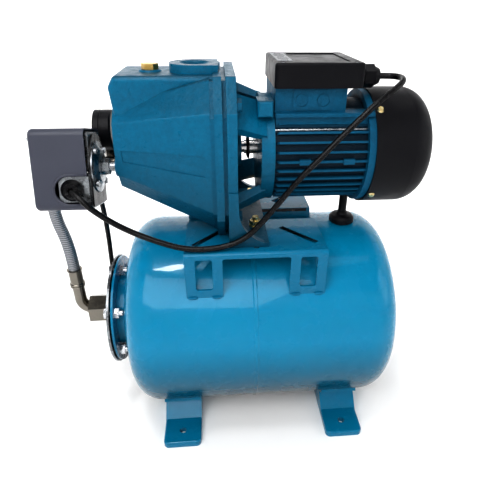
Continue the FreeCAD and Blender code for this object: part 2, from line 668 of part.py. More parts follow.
def make_pump_body():
    nose = section("nose_outline", mirrored_outline([
        (-s.nose_half / 2, s.nose_top), (-s.nose_half + 7, s.nose_top - 17),
        (-s.nose_half, s.nose_axis), (-s.nose_half + 4, s.nose_bottom + 19),
        (-s.nose_half + 14, s.nose_bottom)]), s.nose_face)
    rear = section("rear_outline", mirrored_outline([
        (-s.cone_half + 30, s.cone_top), (-s.cone_half + 2, s.cone_top - 31),
        (-s.cone_half, s.nose_axis), (-s.cone_half + 2, s.cone_bottom + 32),
        (-s.cone_half + 30, s.cone_bottom)]), s.cone_end)
    shell = doc.addObject("Part::Loft", "cone_shell")
    shell.Sections = [nose, rear]
    shell.Solid = True
    shell.Ruled = True
    softened = doc.addObject("Part::Fillet", "cone_softened")
    softened.Base = shell
    doc.recompute()
    nose_x = sizes["nose_face"]
    rear_x = sizes["cone_end"]
    softened.Edges = [(n + 1, 5, 5) for n, edge in enumerate(shell.Shape.Edges)
                      if nose_x + 1 < edge.CenterOfMass.x < rear_x - 1]
    collar = slab("cone_collar", "YZ_Plane", flange_outline(6), s.body_face - s.cone_end - 5,
                  (s.cone_end - 0.5, 0, s.pump_axis))
    joint = slab("joint_plate", "YZ_Plane", flange_outline(0), s.body_flange_thick,
                 (s.body_face - s.body_flange_thick, 0, s.pump_axis))
    rounded(joint, 2, lambda edge: along(edge, "x"))
    top = slab("suction_block", "XZ_Plane", [
        (s.nose_face + 12, s.block_low), (s.nose_face + 3, s.block_low + 25),
        (s.nose_face - 1, s.block_top - 12), (s.nose_face + 6, s.block_top),
        (s.body_face - 3, s.block_top), (s.body_face - 3, s.block_low)],
        2 * s.block_half, (0, s.block_half, 0))
    rounded(top, 6, lambda edge: abs(edge.CenterOfMass.y) > sizes["block_half"] - 0.01
            and edge.CenterOfMass.z > sizes["block_low"] + 5
            and edge.CenterOfMass.x < sizes["body_face"] - 8)
    boss = rod("discharge_rim", s.discharge_boss, (s.discharge_place, 0, s.block_top - 20),
               s.discharge_top - s.block_top + 20, "z")
    boss_link = block("discharge_link",
                      (s.discharge_place, -s.discharge_boss, s.block_top - 20),
                      (s.body_face - 3, s.discharge_boss, s.discharge_top))
    pad = cone("plug_pad_cone", s.plug_pad + 2, s.plug_pad,
               (s.plug_place, 0, s.block_top - 1), 3, "z")
    ports = [
        rod("switch_boss", 12, (s.nose_face - 3, s.switch_y, s.switch_z), 24),
        rod("hose_boss", 13, (s.nose_face - 3, s.hose_port_y, s.hose_port_z), 24),
        rod("gauge_boss", 11, (s.nose_face - 3, s.gauge_port_y, s.gauge_port_z), 24),
        rod("drain_boss", 11, (s.nose_face + 22, 36, s.nose_axis - 20), 24, "y"),
    ]
    softened = cut("cone_panelled", softened, side_panel("panel_near", -1),
                   side_panel("panel_far", 1))
    whole = join("body_whole", softened, collar, joint, top, boss, boss_link, pad, *ports)
    front = s.body_face - s.chamber_depth
    throat = s.discharge_top - s.discharge_depth
    tools = [
        rod("impeller_room", s.chamber_radius, (front, 0, s.pump_axis), s.chamber_depth + 1),
        rod("nose_room", s.nose_chamber, (s.nose_chamber_front, 0, s.nose_axis),
            front - s.nose_chamber_front + 1),
        rod("discharge_bore", s.port_radius, (s.discharge_place, 0, throat),
            s.discharge_depth + 1, "z"),
        rod("discharge_throat", 12, (s.discharge_place, 0, throat - 24), 25, "z"),
        cone("discharge_lead", s.port_radius, s.port_radius + 2.5,
             (s.discharge_place, 0, s.discharge_top - 2.4), 2.5, "z"),
        rod("suction_bore", s.port_radius, (s.nose_face - 5, 0, s.suction_height),
            s.suction_depth + 5),
        rod("suction_drop", 12, (s.nose_face + 32, 0, s.nose_axis + 30),
            s.suction_height - s.nose_axis - 25, "z"),
        rod("priming_bore", s.plug_thread + s.run_gap, (s.plug_place, 0, s.nose_axis + 30), 60, "z"),
        rod("switch_bore", s.neck_thread, (s.nose_face - 5, s.switch_y, s.switch_z), 20),
        rod("hose_bore", 9.8, (s.nose_face - 5, s.hose_port_y, s.hose_port_z), 14.2),
        rod("hose_way", 6, (s.nose_face, s.hose_port_y, s.hose_port_z), 20),
        rod("gauge_bore", 5, (s.nose_face - 5, s.gauge_port_y, s.gauge_port_z), 20),
        rod("drain_bore", 5, (s.nose_face + 22, 30, s.nose_axis - 20), 35, "y"),
        tube("ring_groove", 75.8, 72.2, (s.body_face - 3.4, 0, s.pump_axis), 4),
    ]
    tools += [rod(f"body_thread{n}", s.bolt_shank, spot, 12)
              for n, spot in enumerate(body_bolt_spots(s.body_face - 10))]
    node("pump_body", cut("body_cut", whole, *tools))
    node("body_oring", ring("oring", 74, 1.65, (s.body_face - 1.7, 0, s.pump_axis)))
    head = hexagon("drain_head", 13, (s.nose_face + 22, 60, s.nose_axis - 20), 7, "y")
    stem = rod("drain_stem", 4.9, (s.nose_face + 22, 48, s.nose_axis - 20), 12.5, "y")
    node("drain_plug", join("drain_joined", head, stem))
    seat = s.block_top + 2
    head = hexagon("priming_head", s.plug_flats, (s.plug_place, 0, seat + 0.3), s.plug_head, "z")
    stem = rod("priming_stem", s.plug_thread, (s.plug_place, 0, seat - 14), 16, "z")
    node("priming_plug", join("priming_joined", head, stem))


def make_cover_and_bracket():
    cover_x = s.body_face
    plate = slab("cover_plate", "YZ_Plane", flange_outline(5), s.cover_thick,
                 (cover_x, 0, s.pump_axis))
    cup = rod("cover_cup", s.cup_radius, (cover_x + 1, 0, s.pump_axis), s.cup_end - cover_x - 1)
    tools = [rod("cup_room", s.cup_bore, (cover_x - 1, 0, s.pump_axis), s.cup_end - cover_x - 2),
             rod("cup_way", s.cup_hole, (cover_x, 0, s.pump_axis), 30)]
    tools += [rod(f"cover_hole{n}", s.bolt_shank + 0.3, spot, 6)
              for n, spot in enumerate(body_bolt_spots(cover_x - 1))]
    node("seal_cover", cut("cover_cut", join("cover_joined", plate, cup), *tools))
    face = cover_x + s.cover_thick
    back = face + s.bracket_thick
    parts = [slab("bracket_plate", "YZ_Plane", flange_outline(0, True), s.bracket_thick,
                  (face, 0, s.pump_axis))]
    rounded(parts[0], 2, lambda edge: along(edge, "x"))
    bracket_eye = rod("bracket_eye", 52, (face - 1, 0, s.pump_axis), s.bracket_thick + 2)
    for n in range(4):
        wide = s.arm_wide if n in (0, 3) else s.arm_narrow
        arm = slab(f"arm{n}", "XZ_Plane", [
            (back - 2, s.arm_outer - s.arm_deep), (back - 2, s.arm_outer),
            (s.shield_front, s.shield_radius + 2), (s.shield_front + 6, s.shield_radius),
            (s.shield_front + 6, s.shield_radius - 10)], wide, (0, wide / 2, 0))
        holder = bundle(f"arm_turn{n}", arm)
        turn = FreeCAD.Rotation(FreeCAD.Vector(1, 0, 0), 45 + 90 * n)
        place(holder, (0, 0, s.pump_axis), turn)
        parts.append(holder)
    shoulder = slab("shield_shoulder", "YZ_Plane", [
        (-s.shoulder_out, s.shoulder_low), (-s.shoulder_in, s.shoulder_low),
        (-s.shoulder_in, s.shoulder_top), (-s.shoulder_out, s.shoulder_top)],
        s.shield_back - s.shield_front + 2, (s.shield_front - 5, 0, 0))
    parts.append(rounded(shoulder, 3, lambda edge: not along(edge, "y")))
    parts.append(rod("shield_disc", s.shield_radius, (s.shield_front, 0, s.pump_axis),
                     s.shield_back - s.shield_front))
    parts.append(rod("shield_hub", s.hub_radius, (s.shield_front - 6, 0, s.pump_axis), 12))
    pad_low = s.saddle_top
    parts.append(block("bracket_pad", (face, -s.pad_half, pad_low),
                       (s.pad_front, s.pad_half, pad_low + s.pad_thick)))
    for n, way in enumerate((-1, 1)):
        parts.append(slab(f"gusset{n}", "XZ_Plane", [
            (face, pad_low + 2), (face, pad_low + 70), (back, pad_low + 70),
            (back + 1, pad_low + 45, 42, 1), (s.pad_front - 6, pad_low + s.pad_thick),
            (s.pad_front - 6, pad_low + 2)], 8, (0, way * (s.pad_half - 4) + 4, 0)))
    tools = [bracket_eye,
             rod("shield_room", 54, (s.shield_front + 6, 0, s.pump_axis), 20),
             rod("shoulder_room", 52, (s.shield_front - 6, 0, s.pump_axis), 6),
             rod("shield_bore", s.bearing_outer, (s.bearing_front, 0, s.pump_axis), 20),
             rod("shield_way", 11, (s.shield_front - 10, 0, s.pump_axis), 20)]
    tools += [rod(f"bracket_hole{n}", s.bolt_shank + 0.3, spot, 30)
              for n, spot in enumerate(body_bolt_spots(face - 1))]
    tools += [rod(f"tie_thread{n}", s.tie_rod, spot, 14)
              for n, spot in enumerate(tie_spots(s.shield_front + 3))]
    tools += [rod(f"pad_hole{n}", s.bolt_shank + 0.4, (s.foot_bolt_x, way * s.foot_bolt_y,
                                                       pad_low - 1), 10, "z")
              for n, way in enumerate((-1, 1))]
    bracket = cut("bracket_cut", join("bracket_joined", *parts), *tools)
    node("motor_bracket", bracket)
    bolts = []
    for n, spot in enumerate(body_bolt_spots(back)):
        recess = hexagon(f"body_head{n}", s.bolt_flats, spot, s.bolt_head)
        shank = rod(f"body_shank{n}", s.bolt_shank, spot, 22, "-x")
        bolts.append(join(f"body_bolt{n}", recess, shank))
    node("body_bolts", bundle("body_bolt_set", *bolts))
    bolts = []
    nuts = []
    pad_top = pad_low + s.pad_thick
    for n, way in enumerate((-1, 1)):
        spot = (s.foot_bolt_x, way * s.foot_bolt_y, s.saddle_top - s.saddle_sheet)
        head = rod(f"carriage_head{n}", 6.5, spot, 2.2, "-z")
        shank = rod(f"carriage_shank{n}", s.bolt_shank, spot, 22, "z")
        bolts.append(join(f"carriage_bolt{n}", head, shank))
        top = (s.foot_bolt_x, way * s.foot_bolt_y, pad_top)
        washer = rod(f"nut_washer{n}", 8, top, 1.6, "z")
        high = (top[0], top[1], pad_top + 1.6)
        blank = hexagon(f"nut_blank{n}", s.bolt_flats, high, 6.5, "z")
        bore = rod(f"nut_bore{n}", s.bolt_shank, top, 10, "z")
        nuts.append(cut(f"foot_nut{n}", join(f"nut_stack{n}", washer, blank), bore))
    node("foot_fixings", bundle("foot_set", *bolts, *nuts))


def tie_spots(x):
    return around(4, s.tie_radius, (x, 0, s.pump_axis), 55)


def make_hydraulics():
    line = (0, 0, s.pump_axis)
    front = s.impeller_front
    back = front + s.impeller_wide
    parts = [tube("front_shroud", s.impeller_radius, 20, (front, 0, s.pump_axis), 3),
             tube("rear_shroud", s.impeller_radius, s.shaft_small, (back - 3, 0, s.pump_axis), 3),
             tube("impeller_hub", 13, s.shaft_small, (front + 2, 0, s.pump_axis),
                  s.impeller_wide + 1),
             cut("impeller_nut", hexagon("nut_solid", 22, (front - 6, 0, s.pump_axis), 8),
                 rod("nut_way", s.shaft_small, (front - 7, 0, s.pump_axis), 10))]
    for n in range(6):
        vane = block(f"vane{n}", (front + 2, 24, -1), (back - 2, 59, 1.5))
        holder = bundle(f"vane_turn{n}", vane)
        place(holder, line, FreeCAD.Rotation(FreeCAD.Vector(1, 0, 0), 60 * n))
        parts.append(holder)
    node("impeller", join("impeller_joined", *parts))
    diffuser_x = s.body_face - s.chamber_depth
    node("ejector", turned("ejector_body", [
        (-150, 6), (-150, 15), (-140, 17), (diffuser_x, 18.5),
        (diffuser_x, s.chamber_radius - 0.5), (diffuser_x + 2, s.chamber_radius - 0.5),
        (diffuser_x + 2, 14), (-120, 8)], line))
    seal_line = s.cup_end - 3
    node("seal_stationary", tube("seal_seat", s.cup_bore, 9, (seal_line - 8, 0, s.pump_axis), 8))
    face = tube("seal_face", 14, s.shaft_small, (seal_line - 12, 0, s.pump_axis), 3.95)
    spring = tube("seal_spring", 12.5, s.shaft_small, (back + 3, 0, s.pump_axis),
                  seal_line - 12 - back - 3)
    node("seal_rotating", join("seal_turning", face, spring))


def bearing(name, x, outer, inner, width):
    middle = (outer + inner) / 2
    rim = (outer - inner) / 4
    outer_race = tube(f"{name}_outer", outer, middle + rim, (x, 0, s.pump_axis), width)
    inner_race = tube(f"{name}_inner", middle - rim, inner, (x, 0, s.pump_axis), width)
    balls = [ball(f"{name}_ball{n}", rim, spot)
             for n, spot in enumerate(around(8, middle, (x + width / 2, 0, s.pump_axis)))]
    return bundle(name, outer_race, inner_race, *balls)


def make_shaft_line():
    rear_seat = s.rear_front
    tail_end = s.fan_start + s.fan_wide + 4
    node("shaft", turned("shaft_body", [
        (s.impeller_front - 8, 0), (s.impeller_front - 8, s.shaft_small),
        (-20, s.shaft_small), (-20, s.shaft_seat), (11, s.shaft_seat), (11, s.shaft_core),
        (rear_seat - 2, s.shaft_core), (rear_seat - 2, s.shaft_rear),
        (rear_seat + 14, s.shaft_rear), (rear_seat + 14, s.shaft_small),
        (tail_end, s.shaft_small), (tail_end, 0)], (0, 0, s.pump_axis)))
    node("slinger", turned("slinger_body", [
        (-17, s.shaft_seat), (-17, 11), (-15, 15), (-13.5, 15), (-13, s.shaft_seat)],
        (0, 0, s.pump_axis)))
    node("front_bearing", bearing("bearing_a", s.bearing_front, s.bearing_outer,
                                  s.shaft_seat + s.run_gap, s.bearing_width))
    node("rear_bearing", bearing("bearing_b", rear_seat, s.rear_outer,
                                 s.shaft_rear + s.run_gap, s.rear_width))
    node("rotor_core", tube("rotor", s.rotor_radius, s.shaft_core,
                            (s.rotor_start, 0, s.pump_axis), s.rotor_long))
    core = tube("stator_core", s.stator_radius, s.rotor_radius + s.air_gap,
                (s.rotor_start - 2, 0, s.pump_axis), s.rotor_long + 4)
    rings = [tube(f"winding{n}", 52, 35, (x, 0, s.pump_axis), 13)
             for n, x in enumerate((s.rotor_start - 15.2, s.rotor_start + s.rotor_long + 2.2))]
    node("stator", bundle("stator_set", core, *rings))
    hub = tube("fan_hub", 14, s.shaft_small, (s.fan_start, 0, s.pump_axis), s.fan_wide)
    web = tube("fan_web", 40, 10, (s.fan_start, 0, s.pump_axis), 2.5)
    blades = []
    for n in range(8):
        blade = block(f"blade{n}", (s.fan_start, 12, -1.2), (s.fan_start + s.fan_wide, s.fan_radius, 1.2))
        holder = bundle(f"blade_turn{n}", blade)
        place(holder, (0, 0, s.pump_axis), FreeCAD.Rotation(FreeCAD.Vector(1, 0, 0), 45 * n))
        blades.append(holder)
    node("cooling_fan", join("fan_joined", hub, web, *blades))


# ---------- motor shell ----------

def make_motor_frame():
    start = s.frame_start
    long = s.frame_end - s.frame_start
    barrel = rod("frame_barrel", s.frame_root, (start, 0, s.pump_axis), long)
    parts = [barrel]
    step = sizes["fin_step"]
    for n in range(int(360 / step)):
        angle = step * n
        if 45 < angle < 135:
            continue
        fin = slab(f"fin{n}", "XZ_Plane", [
            (start + 0.5, s.frame_root - 1), (start + 5, s.fin_tip), (s.frame_end - 2, s.fin_tip),
            (s.frame_end - 1, s.frame_root - 1)], s.fin_thick, (0, s.fin_thick / 2, 0))
        holder = bundle(f"fin_turn{n}", fin)
        place(holder, (0, 0, s.pump_axis), FreeCAD.Rotation(FreeCAD.Vector(1, 0, 0), angle - 90))
        parts.append(holder)
    parts.append(block("terminal_base", (s.base_left, -s.base_half, s.base_low),
                       (s.base_right, s.base_half, s.lid_low)))
    parts.append(block("shelf", (start, -s.shelf_half, s.shelf_low),
                       (s.frame_end, s.shelf_half, s.shelf_low + s.shelf_thick)))
    parts.append(block("shelf_root", (start + 1, -s.shelf_half + 5, s.shelf_low - 22),
                       (s.frame_end - 1, s.shelf_half - 5, s.shelf_low + 1)))
    for n, x in enumerate((41, 93)):
        parts.append(block(f"frame_lug{n}", (x, -s.fin_tip - 1.5, s.pump_axis - 3),
                           (x + 13, s.fin_tip + 1.5, s.pump_axis + 3)))
    parts.append(block("knockout_panel", (s.panel_left, -s.base_half - 0.8, s.shelf_low + 6),
                       (s.panel_right, -s.base_half + 1, s.lid_low - 2)))
    parts.append(rod("frame_rim_root", s.frame_rim, (s.rim_start, 0, s.pump_axis),
                     s.frame_end - s.rim_start))
    parts.append(tube("frame_rim_sleeve", s.frame_rim, s.rear_shield_radius + 0.6,
                      (s.frame_end - 0.1, 0, s.pump_axis), s.rim_end - s.frame_end))
    parts.append(rod("stud_boss", 8.5, (s.stud_place, 0, s.stud_mouth), 16, "z"))
    tools = [rod("frame_room", s.frame_bore, (start - 1, 0, s.pump_axis), long + 2),
             block("base_room", (s.base_left + 4, -s.base_half + 4, s.pump_axis + 62),
                   (s.base_right - 4, s.base_half - 4, s.lid_low + 1)),
             rod("wire_way", 8, (s.base_left + 20, 20, s.pump_axis + 40), 40, "z"),
             rod("stud_bore", s.stud_radius + s.run_gap,
                 (s.stud_place, 0, s.stud_mouth - 10), 24, "z")]
    for n, x in enumerate((s.knockout_a, s.knockout_b)):
        tools.append(tube(f"knockout{n}", s.knockout_radius, s.knockout_radius - 1,
                          (x, -s.base_half - 2, s.knockout_high), 2, "y"))
    tools += [rod(f"frame_tie{n}", s.tie_hole, spot, long + 2)
              for n, spot in enumerate(tie_spots(start - 1))]
    tools += [on_cowl(rod(f"rim_hole_cowl{n}", 2.2, (0, 0, s.rear_shield_radius - 1), 12, "z"), turn)
              for n, turn in enumerate(cowl_turns)]
    node("motor_frame", cut("frame_cut", join("frame_joined", *parts), *tools))
    shield_x = s.frame_end
    disc = tube("rear_disc", s.rear_shield_radius, s.shaft_rear + 2, (shield_x, 0, s.pump_axis), 4)
    hub = tube("rear_hub", s.rear_outer + 4, s.rear_outer, (s.rear_front - 1, 0, s.pump_axis), 13)
    room = rod("rear_room", s.rear_outer, (s.rear_front, 0, s.pump_axis), s.rear_width)
    holes = [rod(f"rear_hole{n}", s.tie_hole, spot, 6)
             for n, spot in enumerate(tie_spots(shield_x - 1))]
    node("rear_shield", cut("rear_cut", join("rear_joined", disc, hub), room, *holes))
    ties = []
    for n, spot in enumerate(tie_spots(shield_x + 4)):
        head = rod(f"tie_head{n}", 4, spot, 3)
        shank = rod(f"tie_shank{n}", s.tie_rod, spot, long + 10, "-x")
        ties.append(join(f"tie_bolt{n}", head, shank))
    node("tie_bolts", bundle("tie_bolt_set", *ties))


cowl_turns = (-50, 40, 130, 220)


def on_cowl(item, angle):
    # carries a piece made on the Z axis to a screw place on the fan cover's rim
    holder = bundle(f"{item.Name}_turn", item)
    place(holder, (s.cover_start + 6, 0, s.pump_axis),
          FreeCAD.Rotation(FreeCAD.Vector(1, 0, 0), angle))
    return holder


def make_fan_cover():
    wall = s.cover_wall
    bend = s.cover_end - s.cover_straight
    shell = turned("cowl_body", [
        (s.cover_start, s.cover_radius - wall), (s.cover_start, s.cover_radius),
        (s.cover_straight, s.cover_radius, bend + 2, -1), (s.cover_end - 1, s.cover_flat),
        (s.cover_end + 1, 12), (s.cover_end + 1, 0), (s.cover_end + 1 - wall, 0),
        (s.cover_end + 1 - wall, 12), (s.cover_end - 1 - wall, s.cover_flat, bend + 2 - wall, 1),
        (s.cover_straight, s.cover_radius - wall)], (0, 0, s.pump_axis))
    tools = []
    for n in range(20):
        slot = block(f"vent{n}", (s.cover_end - 12, 18, -1.6), (s.cover_end + 5, 46, 1.6))
        holder = bundle(f"vent_turn{n}", slot)
        place(holder, (0, 0, s.pump_axis), FreeCAD.Rotation(FreeCAD.Vector(1, 0, 0), 18 * n))
        tools.append(holder)
    screws = []
    for n, angle in enumerate(cowl_turns):
        tools.append(on_cowl(rod(f"cowl_hole{n}", 2.2, (0, 0, s.cover_radius - 6), 12, "z"), angle))
        shank = rod(f"cowl_shank{n}", 2, (0, 0, s.fin_tip + 0.2), 9, "z")
        dome = cone(f"cowl_dome{n}", 4.4, 3, (0, 0, s.cover_radius), 2.4, "z")
        screws.append(on_cowl(join(f"cowl_screw{n}", shank, dome), angle))
    node("fan_cover", cut("cowl_cut", shell, *tools))
    node("fan_cover_screws", bundle("cowl_screw_set", *screws))


def make_terminal_box():
    wall = s.lid_wall
    lid = slab("lid_body", "XY_Plane", [
        (s.lid_left, -s.lid_half), (s.lid_right, -s.lid_half), (s.lid_right, s.lid_half),
        (s.lid_left, s.lid_half)], s.lid_top - s.lid_low, (0, 0, s.lid_low))
    rounded(lid, 5, lambda edge: along(edge, "z"))
    rounded(lid, 3, lambda edge: edge.CenterOfMass.z > sizes["lid_top"] - sizes["lid_low"] - 0.01)
    room = block("lid_room", (s.lid_left + wall, -s.lid_half + wall, s.lid_low - 1),
                 (s.lid_right - wall, s.lid_half - wall, s.lid_top - wall))
    tray = block("lid_tray", (s.lid_left + 24, -s.lid_half + 13, s.lid_top - 1.2),
                 (s.lid_right - 14, s.lid_half - 13, s.lid_top + 1))
    gland_hole = rod("gland_hole", 7.4, (s.lid_right - 5, s.gland_y, s.gland_z), 10)
    screw_spots = [(x, y) for x in (s.lid_left + 9, s.lid_right - 9)
                   for y in (-s.lid_half + 7, s.lid_half - 7)]
    screw_tools = [rod(f"lid_sink{n}", 3, (x, y, s.lid_top - 2), 3, "z")
                   for n, (x, y) in enumerate(screw_spots)]
    node("terminal_lid", cut("lid_cut", lid, room, tray, gland_hole, *screw_tools))
    node("lid_screws", bundle("lid_screw_set", *[
        rod(f"lid_screw{n}", 2.8, (x, y, s.lid_top - 2), 1.6, "z")
        for n, (x, y) in enumerate(screw_spots)]))
    node("data_label", block("label", (s.lid_left + 4, -s.lid_half + 16, s.lid_top),
                             (s.lid_left + 21, s.lid_half - 14, s.lid_top + 0.4)))
    boss = rod("gland_boss", s.gland_radius - 1, (s.lid_right, s.gland_y, s.gland_z), 8)
    nut = hexagon("gland_nut", 2 * s.gland_radius, (s.lid_right + 8, s.gland_y, s.gland_z), 12)
    end = cone("gland_end", s.gland_radius, s.gland_radius - 3,
               (s.lid_right + 20, s.gland_y, s.gland_z), s.gland_long - 20)
    stem = rod("gland_stem", 7.3, (s.lid_right - 6, s.gland_y, s.gland_z), 7)
    way = rod("gland_way", s.cable_radius, (s.lid_right - 8, s.gland_y, s.gland_z), 34)
    node("cable_gland", cut("gland_cut", join("gland_joined", boss, nut, end, stem), way))
    capacitor = rod("capacitor", 14, (s.base_left + 8, 24, s.lid_low - 3), 60)
    board = block("terminal_board", (s.base_left + 12, -34, s.lid_low - 14),
                  (s.base_left + 60, -8, s.lid_low - 2))
    studs = [rod(f"terminal{n}", 2.5, (s.base_left + 18 + 9 * n, -20, s.lid_low - 2), 8, "z")
             for n in range(5)]
    terminals = join("terminal_joined", board, *studs)
    node("start_gear", bundle("start_gear_set", terminals, capacitor))


def make_support_foot():
    stud_top = s.stud_mouth + 8 - s.knob_bottom
    node("support_foot", turned("support_body", [
        (0, 0), (s.knob_radius - 1.5, 0), (s.knob_radius, 1.5), (s.knob_radius, 7),
        (s.knob_radius - 3, 10.5), (8, 12), (6.5, 15), (s.stud_radius, 15),
        (s.stud_radius, stud_top), (0, stud_top)],
        (s.stud_place, 0, s.knob_bottom), "V_Axis"))


# ---------- pressure switch ----------

def on_switch(item):
    # sets a piece that was made about the switch's middle line into its rolled place
    roll = FreeCAD.Rotation(FreeCAD.Vector(1, 0, 0), sizes["switch_roll"])
    place(item, (0, s.switch_y, s.switch_z), roll)
    return item


def make_switch():
    left = s.switch_left
    plate_x = s.switch_plate
    half = s.switch_half
    high = s.switch_high
    wall = s.switch_wall
    stud_y = -8
    low = s.switch_low
    cover = slab("switch_shell", "YZ_Plane", [(-half, low), (half, low), (half, high),
                                              (-half, high)], plate_x - left, (left, 0, 0))
    rounded(cover, 8, lambda edge: along(edge, "x"))
    rounded(cover, 5, lambda edge: edge.CenterOfMass.x < 0.01)
    room = block("switch_room", (left + wall, -half + wall, low + wall),
                 (plate_x + 1, half - wall, high - wall))
    rounded_room = doc.addObject("Part::Fillet", "switch_room_round")
    rounded_room.Base = room
    doc.recompute()
    rounded_room.Edges = [(n + 1, 6, 6) for n, edge in enumerate(room.Shape.Edges)
                          if along(edge, "x")]
    tools = [rounded_room, rod("cover_stud_hole", 2.3, (left - 1, stud_y, high - 11), 5)]
    for n, way in enumerate((-1, 1)):
        y = way * half - 6
        tools.append(rod(f"entry_round{n}", s.entry_radius, (s.entry_slot, y, s.entry_low), 12,
                         "y"))
        tools.append(block(f"entry_open{n}",
                           (s.entry_slot, y, s.entry_low - s.entry_radius),
                           (plate_x + 1, y + 12, s.entry_low + s.entry_radius)))
    node("switch_cover", on_switch(cut("switch_cover_cut", cover, *tools)))
    base = block("switch_base_plate", (plate_x, -s.plate_half, s.plate_low),
                 (plate_x + s.plate_thick, s.plate_half, s.plate_high))
    parts = [base, block("contact_body", (plate_x - 38, -24, -4), (plate_x - 18, 2, 14)),
             block("contact_stem", (plate_x - 24, -23, 9), (plate_x + 1, -13, 13.5))]
    for n, way in enumerate((-1, 1)):
        y = way * (half - wall - 1.8) - 1
        parts.append(block(f"entry_tab{n}", (s.entry_place - 15, y, s.entry_low - 14),
                           (plate_x + 1, y + 2, s.entry_low + 15)))
    way_tools = [rod(f"entry_way{n}", 8, (s.entry_place, way * half - 10, s.entry_low), 20, "y")
                 for n, way in enumerate((-1, 1))]
    way_tools.append(rod("base_way", 9, (plate_x - 1, 0, 0), 6))
    disc_x = plate_x + s.plate_thick
    screw_spots = around(4, s.disc_radius - 4, (disc_x - 5, 0, 0), 45)
    way_tools += [rod(f"base_screw_way{n}", 2.1, spot, 6) for n, spot in enumerate(screw_spots)]
    node("switch_base", on_switch(cut("switch_base_cut", join("switch_base_joined", *parts),
                                      *way_tools)))
    grommets = []
    lip = half - wall - 0.8
    for n, way in enumerate((-1, 1)):
        heading = "y" if way > 0 else "-y"
        base_at = (s.entry_place, way * lip, s.entry_low)
        neck = rod(f"grommet_neck{n}", 7.8, (s.entry_place, way * (lip - 5), s.entry_low), 6,
                   heading)
        collar = rod(f"grommet_collar{n}", s.grommet_radius, base_at, 3, heading)
        nose = cone(f"grommet_nose{n}", s.grommet_radius, 8,
                    (s.entry_place, way * (lip + 3), s.entry_low), 5, heading)
        bore = rod(f"grommet_bore{n}", s.cable_radius,
                   (s.entry_place, way * (lip - 8), s.entry_low), 20, heading)
        grommets.append(cut(f"grommet{n}", join(f"grommet_whole{n}", neck, collar, nose), bore))
    node("switch_grommets", on_switch(bundle("grommet_pair", *grommets)))
    skin_holes = [rod(f"diaphragm_hole{n}", 2.1, spot, 8) for n, spot in enumerate(screw_spots)]
    node("switch_diaphragm", on_switch(cut("diaphragm_cut", tube(
        "diaphragm", s.disc_radius + 0.5, 6.2, (disc_x, 0, 0), 1.6), *skin_holes)))
    dome = turned("dome_body", [
        (disc_x + 1.6, 0), (disc_x + 1.6, s.disc_radius), (disc_x + 3.2, s.disc_radius),
        (disc_x + 4, s.disc_radius - 5), (disc_x + 7.5, s.disc_radius - 12), (disc_x + 8, 0)],
        (0, 0, 0))
    tools = [rod(f"dome_hole{n}", 2.1, spot, 17) for n, spot in enumerate(screw_spots)]
    domed = cut("dome_cut", dome, *tools)
    screws = []
    for n, spot in enumerate(around(4, s.disc_radius - 4, (disc_x + 4.2, 0, 0), 45)):
        screws.append(join(f"dome_screw{n}", rod(f"dome_head{n}", 3.8, spot, 2.6),
                           rod(f"dome_shank{n}", 1.9, spot, 9, "-x")))
    neck = hexagon("neck_hex", s.neck_flats, (disc_x + 8, 0, 0), 8)
    thread = rod("neck_thread", s.neck_thread - 0.1, (disc_x + 8, 0, 0), 27)
    domed_neck = join("neck_joined", domed, neck, thread)
    node("switch_flange", on_switch(bundle("switch_flange_set", domed_neck, *screws)))
    stud = rod("cover_stud", 2, (left - 3, stud_y, high - 11), plate_x - left + 3)
    acorn = hexagon("acorn_hex", 8, (left - 5, stud_y, high - 11), 5)
    dome_nut = cone("acorn_dome", 2, 3.8, (left - 9.5, stud_y, high - 11), 4.5)
    node("cover_nut", on_switch(join("acorn_joined", stud, acorn, dome_nut)))
    spring = tube("range_spring_body", 8, 6.6, (plate_x - 44, 8, 22), 30)
    post_body = rod("range_post", 3, (plate_x - 52, 8, 22), 52)
    nut = cut("range_nut", hexagon("range_hex", 11, (plate_x - 49, 8, 22), 5),
              rod("range_bore", 3, (plate_x - 50, 8, 22), 7))
    node("range_adjuster", on_switch(bundle("range_set", spring, post_body, nut)))
    blade = block("lever_blade", (plate_x - 12, -12, 2), (plate_x - 9.5, 20, 12))
    pivot = rod("lever_pivot", 1.8, (plate_x - 10.75, 20, 0), 14, "z")
    node("contact_lever", on_switch(join("lever_body", blade, pivot)))
    node("push_rod", on_switch(bundle("push_set", turned("push_body", [
        (plate_x - 9, 0), (plate_x - 9, 4), (disc_x - 0.2, 4), (disc_x - 0.2, 0)], (0, 0, 0)))))


# ---------- gauge ----------

